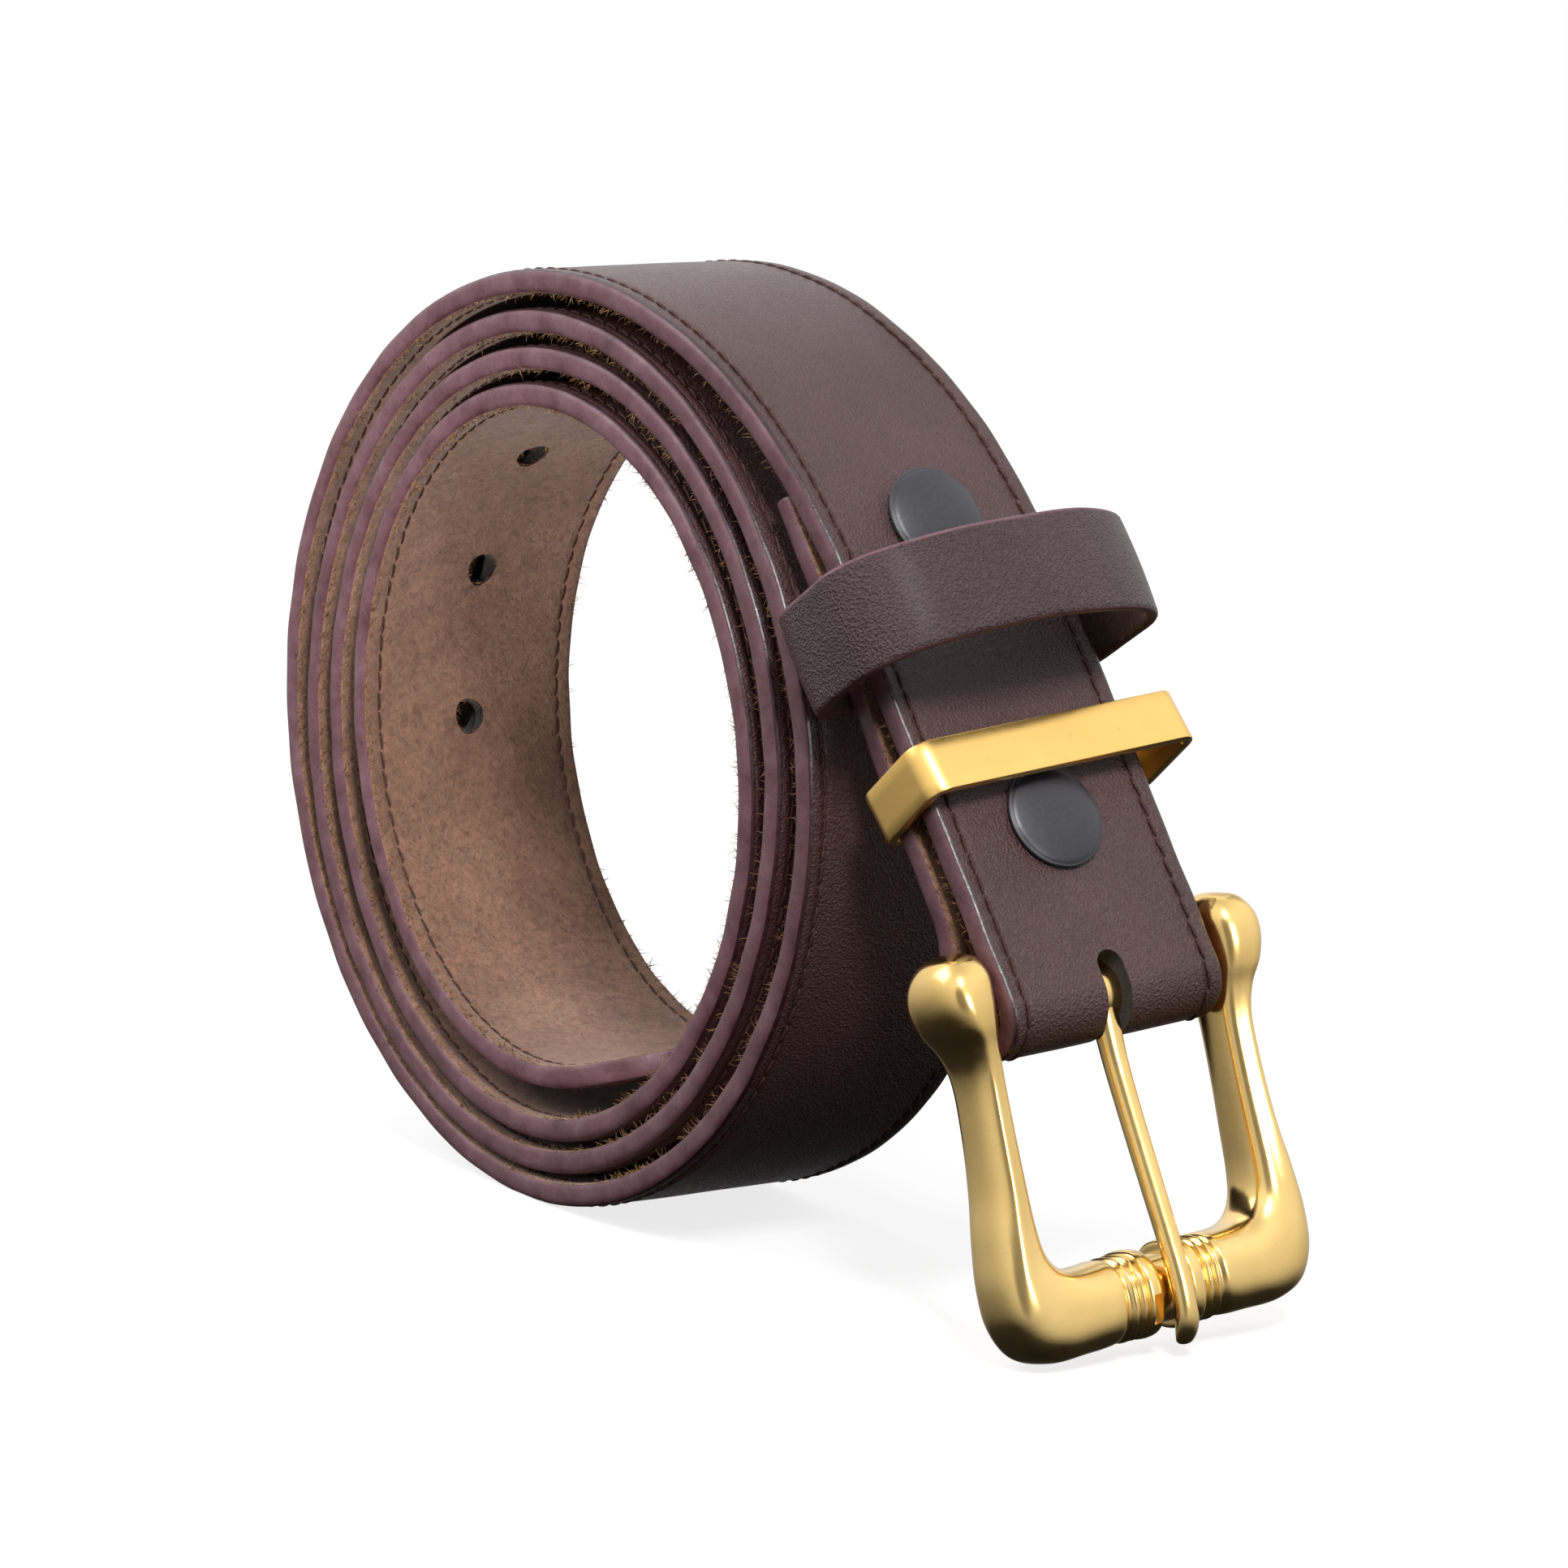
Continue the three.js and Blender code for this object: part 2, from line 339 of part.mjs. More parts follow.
// rails of the left half: inner (u, v), outer (u, v), half depth, shift of the depth centre
const I = INNER_HALF, L = BUCKLE_LEN;
const rail = [
  [[-I - 2.4, -9.6], [-I - 4.6, -9.6], 1.4, 0.2], [[-I - 0.9, -8.6], [-I - 7.0, -8.6], 4.2, 0.1], [[-I, -6.4], [-I - 8.7, -6.4], 6.0, 0], [[-I, -3.4], [-I - 9.2, -3.4], 6.8, -0.2],
  [[-I, 0.2], [-I - 8.3, 0.2], 6.4, -0.2], [[-I, 3.4], [-I - 6.5, 3.4], 5.0, 0], [[-I, 7.0], [-I - 5.5, 7.0], 4.2, 0.1], [[-I, 15], [-I - 5.5, 15], 4.2, 0.1],
  [[-I, 23], [-I - 6.2, 23.3], 4.6, 0], [[-I + 0.1, 29], [-I - 7.2, 30], 5.0, 0], [[-I + 0.7, 32.3], [-I - 7.8, 36.5], 5.4, 0], [[-I + 2.2, 34.4], [-I - 7.2, 42], 5.8, 0],
  [[-I + 4.2, 35.4], [-I - 4.8, 46], 6.0, 0], [[-I + 6.2, L - 5.8], [-I - 0.8, L + 6.1], 6.0, 0], [[-11, L - 5.8], [-14.6, L + 6.2], 6.0, 0], [[-8.8, L - 5.8], [-9.8, L + 6.0], 6.0, 0],
  [[-8.2, L - 5.2], [-8.4, L + 5.4], 5.4, 0], [[-7.5, L - 5.9], [-7.5, L + 6.1], 6.1, 0], [[-6.7, L - 5.2], [-6.7, L + 5.4], 5.4, 0], [[-6.0, L - 5.9], [-6.0, L + 6.1], 6.1, 0],
  [[-5.2, L - 5.3], [-5.2, L + 5.5], 5.5, 0], [[-4.6, L - 6.1], [-4.6, L + 6.2], 6.2, 0], [[-2.9, L - 6.1], [-2.9, L + 6.2], 6.2, 0], [[-2.7, L - 4.7], [-2.7, L + 4.9], 4.8, 0],
];
function buckleFrame() {
  const all = [...rail, ...rail.slice().reverse().map(([a, b, d, c]) => [[-a[0], a[1]], [-b[0], b[1]], d, c])];
  const M = 12, sec = [];
  for (let k = 0; k < M; k++) { const a = 2 * Math.PI * (k + 0.5) / M, p = 2 / 2.5; sec.push(V2(Math.sign(Math.cos(a)) * Math.abs(Math.cos(a)) ** p, Math.sign(Math.sin(a)) * Math.abs(Math.sin(a)) ** p)); }
  const rings = all.map(([a, b, d, c]) => sec.map((q) => { const f = (q.x + 1) / 2; return B(mix(a[0], b[0], f), mix(a[1], b[1], f), c + d * q.y); }));
  const g = loft(rings, sec);
  const holes = [-1, 1].map((k) => rod(frameAt(B(k * (I + 1.2), 0, 0), eS, mB, eS.clone().cross(mB).normalize()), BAR_R + 0.35, -2.4, 2.4, 12));
  return cut(g, holes);
}
function buckleBar() { return outward(rod(frameAt(B(0, 0, 0), eS, mB, eS.clone().cross(mB).normalize()), BAR_R, -(I + 3.2), I + 3.2, 14)); }

// ---------------------------------------------------------------- prong
function prong() {
  // ring round the bar, then a round shank that lies in the notch of the crossbar and turns down past it
  const RO = 4.3, RI = BAR_R + 0.35, WID = 4.2;
  const ring = new THREE.Shape(); ring.absarc(0, 0, RO, 0, 2 * Math.PI, false);
  const g = new THREE.ExtrudeGeometry(ring, { depth: WID, bevelEnabled: false, curveSegments: 10 });
  g.translate(0, 0, -WID / 2); g.applyMatrix4(frameAt(B(0, 0, 0), eS, mB, eS.clone().cross(mB).normalize()));
  const line = [[1.6, 1.9, 1.9, 2.05], [5, 1.9, 1.85, 2.0], [9, 2.1, 1.75, 1.85], [16, 3.0, 1.7, 1.75], [26, 4.6, 1.65, 1.7], [35, 6.1, 1.6, 1.65], [40, 6.8, 1.6, 1.65], [44, 7.0, 1.55, 1.7], [46.2, 6.7, 1.45, 1.7], [48.0, 5.9, 1.25, 1.6], [49.1, 5.2, 0.8, 1.2]];
  const M = 10, sec = []; for (let k = 0; k < M; k++) { const a = 2 * Math.PI * (k + 0.5) / M; sec.push(V2(Math.cos(a), Math.sin(a))); }
  const rings = line.map(([v, h, r, rw], i) => {
    const a = line[Math.max(0, i - 1)], b = line[Math.min(line.length - 1, i + 1)], l = Math.hypot(b[0] - a[0], b[1] - a[1]), tv = (b[0] - a[0]) / l, th = (b[1] - a[1]) / l;
    return sec.map((q) => B(q.x * rw, v - th * q.y * r, h + tv * q.y * r));
  });
  const body = toManifold(g).add(toManifold(loft(rings, sec))).subtract(toManifold(rod(frameAt(B(0, 0, 0), eS, mB, eS.clone().cross(mB).normalize()), RI, -6, 6, 14)));
  return fromManifold(body);
}

// ---------------------------------------------------------------- assembly
const mat = (color, roughness, metalness) => new THREE.MeshStandardMaterial({ color, roughness, metalness });
const belt = new THREE.Group(); belt.name = 'leather_belt';
const add = (parent, name, geometry, material) => { const m = new THREE.Mesh(geometry, material); m.name = name; parent.add(m); return m; };

add(belt, 'strap', strap, mat(0x5c4844, 0.55, 0));
add(belt, 'stitch_thread_front', thread(-1), mat(0x2e1c1a, 0.8, 0));
add(belt, 'stitch_thread_back', thread(1), mat(0x2e1c1a, 0.8, 0));
SNAPS.forEach((s, i) => {
  const grp = new THREE.Group(); grp.name = i ? 'lower_snap' : 'upper_snap'; belt.add(grp);
  const q = snapParts(s), n = i ? 'snap_lower_' : 'snap_upper_';
  add(grp, n + 'cap', q.cap, mat(0x2c2e34, 0.38, 0.8));
  add(grp, n + 'socket', q.socket, mat(0x3a3b3f, 0.4, 0.9));
  add(grp, n + 'spring', q.spring, mat(0xb08a48, 0.35, 1));
  add(grp, n + 'stud', q.stud, mat(0x3a3b3f, 0.4, 0.9));
  add(grp, n + 'post', q.post, mat(0x3a3b3f, 0.4, 0.9));
});
add(belt, 'leather_keeper', leatherKeeper(), mat(0x5a4446, 0.45, 0));
add(belt, 'keeper_staple', keeperStaple(), mat(0x9a9a9a, 0.4, 1));
add(belt, 'metal_keeper', metalKeeper(), mat(0xe4ba68, 0.25, 1));
const buckle = new THREE.Group(); buckle.name = 'buckle'; belt.add(buckle);
add(buckle, 'buckle_frame', buckleFrame(), mat(0xe4ba68, 0.22, 1));
add(buckle, 'buckle_bar', buckleBar(), mat(0xd2a656, 0.3, 1));
add(buckle, 'prong', prong(), mat(0xe4ba68, 0.25, 1));

export default belt;
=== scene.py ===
import math
import bpy
import numpy as np
from mathutils import Matrix, Vector


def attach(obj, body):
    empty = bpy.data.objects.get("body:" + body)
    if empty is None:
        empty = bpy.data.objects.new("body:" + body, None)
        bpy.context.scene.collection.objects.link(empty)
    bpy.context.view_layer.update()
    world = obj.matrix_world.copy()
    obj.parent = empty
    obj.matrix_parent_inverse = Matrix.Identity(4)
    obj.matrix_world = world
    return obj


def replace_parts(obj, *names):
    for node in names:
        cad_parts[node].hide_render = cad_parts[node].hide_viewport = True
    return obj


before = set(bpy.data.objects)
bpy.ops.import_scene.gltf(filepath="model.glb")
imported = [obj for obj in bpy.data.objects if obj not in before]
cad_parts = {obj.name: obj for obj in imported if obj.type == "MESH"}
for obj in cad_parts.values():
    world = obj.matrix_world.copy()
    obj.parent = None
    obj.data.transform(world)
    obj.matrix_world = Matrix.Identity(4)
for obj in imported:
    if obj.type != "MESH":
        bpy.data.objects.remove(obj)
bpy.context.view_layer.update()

rng = np.random.default_rng(7)

# ------------------------------------------------------------------ sizes, in mm, as in the part
T, HALF = 3.5, 1.75
TIP_R = 17.0
HOLE_FIRST, HOLE_PITCH, HOLES, HOLE_R = 95.3, 24.4, 5, 2.3
TA, VA = math.radians(33.45), math.radians(4.5)
VEER_RUN = 60.0
SNAP_PITCH, BAR_S, BAR_R, FOLD_R, FLAP_END = 46.0, 70.0, 2.1, 2.9, -9.0
LINE = np.array([
    (22.21, 24.19), (12.97, 20.61), (3.45, 18.78), (-6.10, 18.88), (-15.42, 20.96), (-24.19, 24.93), (-32.11, 30.64), (-38.87, 37.84),
    (-44.23, 46.22), (-47.94, 55.44), (-49.84, 65.12), (-49.85, 74.88), (-47.98, 84.38), (-44.29, 93.26), (-38.94, 101.22), (-32.14, 107.97),
    (-24.16, 113.30), (-15.29, 117.00), (-5.86, 118.97), (3.81, 119.12), (13.38, 117.47), (22.52, 114.08), (30.92, 109.08), (38.29, 102.64),
    (44.38, 95.00), (48.98, 86.39), (51.93, 77.10), (53.14, 67.44), (52.56, 57.69), (50.22, 48.18), (46.24, 39.21), (40.74, 31.07),
    (33.92, 24.02), (26.01, 18.29), (17.26, 14.08), (7.94, 11.53), (-1.66, 10.71), (-11.25, 11.66), (-20.55, 14.33), (-29.27, 18.61),
    (-37.15, 24.37), (-43.96, 31.39), (-49.48, 39.47), (-53.55, 48.35), (-56.03, 57.77), (-56.84, 67.45), (-55.97, 77.12), (-53.44, 86.49),
    (-49.33, 95.32), (-43.79, 103.34), (-36.98, 110.35), (-29.11, 116.14), (-20.40, 120.56), (-11.11, 123.46), (-1.49, 124.78), (8.19, 124.47),
    (17.66, 122.55), (26.67, 119.09), (34.97, 114.18), (42.34, 107.98), (48.56, 100.64), (53.48, 92.37), (56.94, 83.40), (58.85, 73.95),
    (59.17, 64.27), (57.87, 54.62), (55.02, 45.26), (50.70, 36.41), (45.04, 28.33), (38.18, 21.23), (30.32, 15.30), (21.66, 10.70),
    (12.42, 7.57), (2.84, 6.00), (-6.85, 6.02), (-16.41, 7.62), (-25.60, 10.76), (-34.19, 15.33), (-41.96, 21.21), (-48.73, 28.24),
    (-54.32, 36.23), (-58.58, 44.98), (-61.40, 54.27), (-62.70, 63.87), (-62.45, 73.56), (-60.65, 83.09), (-57.36, 92.25), (-52.67, 100.82),
    (-46.70, 108.60), (-39.60, 115.40), (-31.55, 121.06), (-22.73, 125.44), (-13.36, 128.44), (-3.66, 129.98), (6.16, 130.04), (15.87, 128.60),
    (25.25, 125.73), (34.09, 121.50), (42.19, 116.02), (49.37, 109.42), (55.45, 101.86), (60.31, 93.52), (63.83, 84.58), (65.92, 75.25),
    (66.53, 65.73), (65.67, 56.23), (63.36, 46.94), (59.65, 38.07), (54.65, 29.82), (48.48, 22.34), (41.27, 15.82), (33.18, 10.39),
    (24.39, 6.17), (15.09, 3.26), (5.47, 1.73), (-4.28, 1.60), (-13.95, 2.87), (-23.35, 5.51), (-32.29, 9.46), (-40.59, 14.62),
    (-48.09, 20.88), (-54.62, 28.11), (-60.04, 36.15), (-64.26, 44.83), (-67.15, 53.99), (-68.67, 63.43), (-68.78, 72.97), (-67.45, 82.41),
    (-64.72, 91.58), (-60.63, 100.28), (-55.26, 108.35), (-48.72, 115.63), (-41.12, 121.97), (-32.63, 127.25), (-23.40, 131.37), (-13.62, 134.26),
    (-3.50, 135.87), (6.75, 136.19), (16.89, 135.26), (26.70, 133.11), (35.99, 129.83), (44.61, 125.50), (52.45, 120.19), (59.51, 113.98),
    (65.86, 106.98),
])


def smooth(a, b, x):
    f = np.clip((np.asarray(x, float) - a) / (b - a), 0, 1)
    return f * f * (3 - 2 * f)


def unit(v):
    v = np.asarray(v, float)
    return v / np.linalg.norm(v, axis=-1, keepdims=True)


YV = np.array([0.0, 1.0, 0.0])
tIn = np.array([math.sin(TA), 0, -math.cos(TA)])
nT = np.array([math.cos(TA), 0, math.sin(TA)])
dT = tIn * math.cos(VA) + YV * math.sin(VA)
wT = YV * math.cos(VA) - tIn * math.sin(VA)
Y_SNAP = math.tan(VA) * VEER_RUN / 2
O = np.array([66.41, Y_SNAP, 109.82])


def P(s, w, n):
    s, w, n = (np.asarray(x, float)[..., None] for x in (s, w, n))
    return O + s * dT + w * wT + n * nT


def gap(s):
    return 1.6 + 1.2 * smooth(14, 40, s) + 3.0 * smooth(54, 65, s)


# buckle frame: u across, v down from the bar, h out of the front
BA, SK = math.radians(15.35), math.radians(1.2)
tB = np.array([math.sin(BA), 0, -math.cos(BA)])
eB = tB * math.cos(VA) + YV * math.sin(VA)
eB = unit(eB - wT * (eB @ wT))
mB = np.cross(wT, eB)
mB = unit(mB * np.sign(mB @ nT))
OB = P(BAR_S, 0.25, -T - FOLD_R)
eS = eB * math.cos(SK) + wT * math.sin(SK)
wS = wT * math.cos(SK) - eB * math.sin(SK)


def B(u, v, h):
    u, v, h = (np.asarray(x, float)[..., None] for x in (u, v, h))
    return OB + u * wS + v * eS + h * mB


# ------------------------------------------------------------------ mesh helpers
def make(name, verts, faces, mats, index=None, sharp=None):
    me = bpy.data.meshes.new(name)
    me.from_pydata((np.asarray(verts, float) / 1000).tolist(), [], [list(map(int, f)) for f in faces])
    for m in mats:
        me.materials.append(m)
    if index is not None:
        me.polygons.foreach_set("material_index", np.asarray(index, np.int32))
    me.polygons.foreach_set("use_smooth", np.ones(len(me.polygons), bool))
    me.update()
    if sharp is not None:
        me.set_sharp_from_angle(angle=math.radians(sharp))
    o = bpy.data.objects.new(name, me)
    bpy.context.scene.collection.objects.link(o)
    return o


def fix_normals(o):
    import bmesh
    bm = bmesh.new()
    bm.from_mesh(o.data)
    bmesh.ops.recalc_face_normals(bm, faces=bm.faces)
    bm.to_mesh(o.data)
    bm.free()
    o.data.update()


def grid_faces(R, M, loop=False, closed=True):
    i = np.arange(R if loop else R - 1)[:, None]
    j = np.arange(M if closed else M - 1)[None, :]
    a = i * M + j
    b = i * M + (j + 1) % M
    c = ((i + 1) % R) * M + (j + 1) % M
    d = ((i + 1) % R) * M + j
    return np.stack(np.broadcast_arrays(a, b, c, d), -1).reshape(-1, 4)


def loft(name, rings, mats, index=None, loop=False, sharp=None, caps=True):
    rings = np.asarray(rings, float)
    R, M = rings.shape[:2]
    f = [tuple(x) for x in grid_faces(R, M, loop)]
    idx = None if index is None else list(np.asarray(index).reshape(-1))
    if caps and not loop:
        f.append(tuple(range(M))[::-1])
        f.append(tuple((R - 1) * M + k for k in range(M)))
        if idx is not None:
            idx += [idx[0], idx[-1]]
    o = make(name, rings.reshape(-1, 3), f, mats, idx)
    fix_normals(o)
    if sharp is not None:
        o.data.set_sharp_from_angle(angle=math.radians(sharp))
    return o


def lathe(name, prof, origin, ex, ey, ez, mats, seg=72, closed=False, sharp=32):
    """profile (r, h) turned round ez."""
    prof = np.asarray(prof, float)
    a = 2 * np.pi * np.arange(seg) / seg
    ring = np.cos(a)[:, None] * ex + np.sin(a)[:, None] * ey
    pts, faces, base = [], [], []
    n = 0
    for r, h in prof:
        if r < 1e-6:
            pts.append((origin + h * ez)[None, :])
            base.append((n, 1)); n += 1
        else:
            pts.append(origin + h * ez + r * ring)
            base.append((n, seg)); n += seg
    pairs = list(zip(base[:-1], base[1:])) + ([(base[-1], base[0])] if closed else [])
    for (a0, na), (b0, nb) in pairs:
        for j in range(seg):
            k = (j + 1) % seg
            if na == 1 and nb == 1:
                continue
            if na == 1:
                faces.append((a0, b0 + k, b0 + j))
            elif nb == 1:
                faces.append((a0 + j, a0 + k, b0))
            else:
                faces.append((a0 + j, a0 + k, b0 + k, b0 + j))
    o = make(name, np.concatenate(pts), faces, mats)
    fix_normals(o)
    o.data.set_sharp_from_angle(angle=math.radians(sharp))
    return o


def catmull(pts, sub):
    """smooth curve through rows of numbers, sub steps to each interval."""
    p = np.asarray(pts, float)
    e = np.vstack([2 * p[0] - p[1], p, 2 * p[-1] - p[-2]])
    out = []
    for i in range(1, len(e) - 2):
        p0, p1, p2, p3 = e[i - 1], e[i], e[i + 1], e[i + 2]
        d0, d1, d2 = (max(np.linalg.norm(a - b), 1e-6) ** 0.5 for a, b in ((p1, p0), (p2, p1), (p3, p2)))
        m1 = (p1 - p0) / d0 - (p2 - p0) / (d0 + d1) + (p2 - p1) / d1
        m2 = (p2 - p1) / d1 - (p3 - p1) / (d1 + d2) + (p3 - p2) / d2
        m1, m2 = m1 * d1, m2 * d1
        for t in np.arange(sub) / sub:
            out.append((2 * t**3 - 3 * t**2 + 1) * p1 + (t**3 - 2 * t**2 + t) * m1 + (-2 * t**3 + 3 * t**2) * p2 + (t**3 - t**2) * m2)
    out.append(p[-1])
    return np.array(out)


def tube(name, path, radius, mats, sides=12):
    path = np.asarray(path, float)
    t = unit(np.gradient(path, axis=0))
    u = unit(np.cross(t[0], [0.3, 0.5, 0.8]))
    rings = []
    a = 2 * np.pi * np.arange(sides) / sides
    for i in range(len(path)):
        u = unit(u - t[i] * (u @ t[i]))
        v = np.cross(t[i], u)
        r = radius if np.isscalar(radius) else radius[i]
        rings.append(path[i] + r * (np.cos(a)[:, None] * u + np.sin(a)[:, None] * v))
    return loft(name, rings, mats)


# ------------------------------------------------------------------ materials
def lin(r, g, b):
    f = lambda c: c / 12.92 if c <= 0.04045 else ((c + 0.055) / 1.055) ** 2.4
    return (f(r / 255), f(g / 255), f(b / 255), 1.0)


class Mat:
    def __init__(self, name, roughness=0.5, metallic=0.0, **constants):
        self.m = bpy.data.materials.new(name)
        self.m.use_nodes = True
        self.nt = self.m.node_tree
        self.b = self.nt.nodes["Principled BSDF"]
        self.b.inputs["Roughness"].default_value = roughness
        self.b.inputs["Metallic"].default_value = metallic
        for k, v in constants.items():
            self.b.inputs[k.replace("_", " ")].default_value = v
        self.co = self.node("ShaderNodeTexCoord").outputs["Object"]
        self.normal = None

    def node(self, kind, **props):
        n = self.nt.nodes.new(kind)
        for k, v in props.items():
            setattr(n, k, v)
        return n

    def link(self, a, b):
        self.nt.links.new(a, b)

    def coords(self, stretch):
        if stretch == (1, 1, 1):
            return self.co
        mp = self.node("ShaderNodeMapping")
        mp.inputs["Scale"].default_value = stretch
        self.link(self.co, mp.inputs["Vector"])
        return mp.outputs["Vector"]

    def noise(self, scale, detail=3.0, rough=0.55, distortion=0.0, stretch=(1, 1, 1)):
        n = self.node("ShaderNodeTexNoise")
        n.inputs["Scale"].default_value = scale
        n.inputs["Detail"].default_value = detail
        n.inputs["Roughness"].default_value = rough
        n.inputs["Distortion"].default_value = distortion
        self.link(self.coords(stretch), n.inputs["Vector"])
        return n.outputs["Fac"]

    def voronoi(self, scale, feature="F1", warp=None, stretch=(1, 1, 1)):
        n = self.node("ShaderNodeTexVoronoi", feature=feature)
        n.inputs["Scale"].default_value = scale
        src = self.coords(stretch)
        if warp:
            w = self.node("ShaderNodeTexNoise")
            w.inputs["Scale"].default_value = warp[0]
            self.link(self.co, w.inputs["Vector"])
            mix = self.node("ShaderNodeMix", data_type="VECTOR")
            mix.inputs["Factor"].default_value = warp[1]
            self.link(src, mix.inputs["A"])
            self.link(w.outputs["Color"], mix.inputs["B"])
            src = mix.outputs["Result"]
        self.link(src, n.inputs["Vector"])
        return n.outputs["Distance"]

    def ramp(self, fac, stops):
        r = self.node("ShaderNodeValToRGB")
        e = r.color_ramp.elements
        while len(e) < len(stops):
            e.new(0.5)
        for k, (p, c) in enumerate(stops):
            e[k].position = p
            e[k].color = c if len(c) == 4 else (*c, 1)
        self.link(fac, r.inputs["Fac"])
        return r.outputs["Color"]

    def mix(self, fac, a, b, blend="MIX"):
        n = self.node("ShaderNodeMix", data_type="RGBA", blend_type=blend)
        if isinstance(fac, (int, float)):
            n.inputs["Factor"].default_value = fac
        else:
            self.link(fac, n.inputs["Factor"])
        for k, v in (("A", a), ("B", b)):
            s = [i for i in n.inputs if i.name == k and i.type == "RGBA"][0]
            if isinstance(v, tuple):
                s.default_value = v
            else:
                self.link(v, s)
        return [o for o in n.outputs if o.type == "RGBA"][0]

    def span(self, fac, lo, hi, a=0.0, b=1.0):
        n = self.node("ShaderNodeMapRange")
        n.inputs["From Min"].default_value = a
        n.inputs["From Max"].default_value = b
        n.inputs["To Min"].default_value = lo
        n.inputs["To Max"].default_value = hi
        self.link(fac, n.inputs["Value"])
        return n.outputs["Result"]

    def color(self, c):
        self.link(c, self.b.inputs["Base Color"])

    def rough(self, r):
        self.link(r, self.b.inputs["Roughness"])

    def bump(self, height, mm, strength=1.0):
        n = self.node("ShaderNodeBump")
        n.inputs["Strength"].default_value = strength
        n.inputs["Distance"].default_value = mm / 1000
        self.link(height, n.inputs["Height"])
        if self.normal is not None:
            self.link(self.normal, n.inputs["Normal"])
        self.normal = n.outputs["Normal"]
        self.link(self.normal, self.b.inputs["Normal"])


def mat_grain(name, dark, light, cell, depth, rough, micro=0.02, spec=0.5, coat=0.12):
    m = Mat(name, Specular_IOR_Level=spec, Coat_Weight=coat, Coat_Roughness=0.32)
    big = m.noise(45, 4, 0.6)
    fine = m.noise(900, 3, 0.6)
    base = m.ramp(big, [(0.3, dark), (0.7, light)])
    pores = m.ramp(fine, [(0.32, (0.55, 0.52, 0.52, 1)), (0.46, (1, 1, 1, 1)), (0.75, (1.0, 1.0, 1.0, 1))])
    m.color(m.mix(0.55, base, pores, "MULTIPLY"))
    m.rough(m.span(m.noise(700, 3, 0.7), rough[0], rough[1], 0.3, 0.7))
    m.bump(m.noise(30, 2), 0.25, 0.6)
    m.bump(m.voronoi(cell, "F1", warp=(cell * 0.35, 0.0006)), depth)
    m.bump(m.noise(cell * 2.4, 3, 0.65), micro)
    return m.m


M_GRAIN = mat_grain("belt_grain_leather", lin(74, 46, 45), lin(88, 58, 57), 2300, 0.20, (0.24, 0.38), micro=0.12, spec=0.45)
M_KEEP = mat_grain("keeper_pebbled_leather", lin(75, 50, 52), lin(90, 63, 65), 2400, 0.36, (0.20, 0.30), micro=0.18, spec=0.42, coat=0.06)


def mat_edge():
    m = Mat("painted_edge", Specular_IOR_Level=0.4, Coat_Weight=0.1, Coat_Roughness=0.35)
    c = m.ramp(m.noise(160, 5, 0.65), [(0.28, lin(76, 44, 48)), (0.5, lin(105, 70, 77)), (0.75, lin(127, 95, 104))])
    spots = m.ramp(m.noise(1500, 3, 0.7), [(0.3, lin(60, 30, 32)), (0.4, (1, 1, 1, 1))])
    m.color(m.mix(0.5, c, spots, "MULTIPLY"))
    m.rough(m.span(m.noise(500, 3), 0.34, 0.55, 0.3, 0.7))
    m.bump(m.noise(220, 4, 0.6), 0.12)
    m.bump(m.noise(1400, 3, 0.6), 0.03)
    return m.m


def mat_rim():
    m = Mat("edge_paint_rim", Specular_IOR_Level=0.5, Coat_Weight=0.2, Coat_Roughness=0.22)
    c = m.ramp(m.noise(420, 5, 0.7), [(0.3, lin(34, 10, 12)), (0.5, lin(52, 24, 28)), (0.7, lin(48, 38, 50))])
    m.color(c)
    m.rough(m.span(m.noise(900, 3), 0.24, 0.48, 0.3, 0.7))
    m.bump(m.noise(500, 4, 0.65), 0.16)
    m.bump(m.noise(2200, 3, 0.6), 0.03)
    return m.m


def mat_suede(name, dark, mid, light):
    m = Mat(name, roughness=0.95, Specular_IOR_Level=0.15, Sheen_Weight=0.25, Sheen_Roughness=0.6)
    patch = m.ramp(m.noise(55, 5, 0.6), [(0.3, dark), (0.52, mid), (0.75, light)])
    nap = m.ramp(m.noise(1000, 5, 0.8, distortion=0.8), [(0.32, (0.46, 0.41, 0.38, 1)), (0.5, (0.95, 0.94, 0.93, 1)), (0.7, (1.3, 1.27, 1.24, 1))])
    streak = m.ramp(m.noise(380, 4, 0.7, distortion=1.2), [(0.35, (0.72, 0.7, 0.68, 1)), (0.6, (1.06, 1.06, 1.06, 1))])
    m.color(m.mix(0.8, m.mix(0.9, patch, nap, "MULTIPLY"), streak, "MULTIPLY"))
    m.bump(m.noise(420, 4, 0.7, distortion=1.0), 0.34)
    m.bump(m.noise(1700, 4, 0.75, distortion=0.5), 0.09)
    return m.m


M_EDGE, M_RIM = mat_edge(), mat_rim()
M_FLESH = mat_suede("belt_flesh_suede", lin(132, 97, 78), lin(152, 114, 93), lin(166, 130, 108))
# the keeper's suede lining, darker than the belt's flesh: partly its own brown, partly painted shade of the keeper's
# inside
M_KSUEDE_SHADE = mat_suede("keeper_lining_suede_painted_shade", lin(72, 44, 28), lin(98, 64, 40), lin(118, 82, 54))
# walls of the holes and the slot: the suede turned near-black, painted shade of the recesses
M_CUT_SHADE = mat_suede("hole_wall_painted_shade", lin(16, 9, 7), lin(26, 14, 10), lin(44, 26, 18))


def mat_thread():
    m = Mat("waxed_thread", roughness=0.6, Specular_IOR_Level=0.3)
    m.color(m.ramp(m.noise(1600, 4, 0.7), [(0.3, lin(40, 22, 18)), (0.55, lin(74, 47, 40)), (0.75, lin(108, 80, 66))]))
    m.bump(m.noise(3500, 3, 0.6, stretch=(1, 1, 2.5)), 0.05)
    return m.m


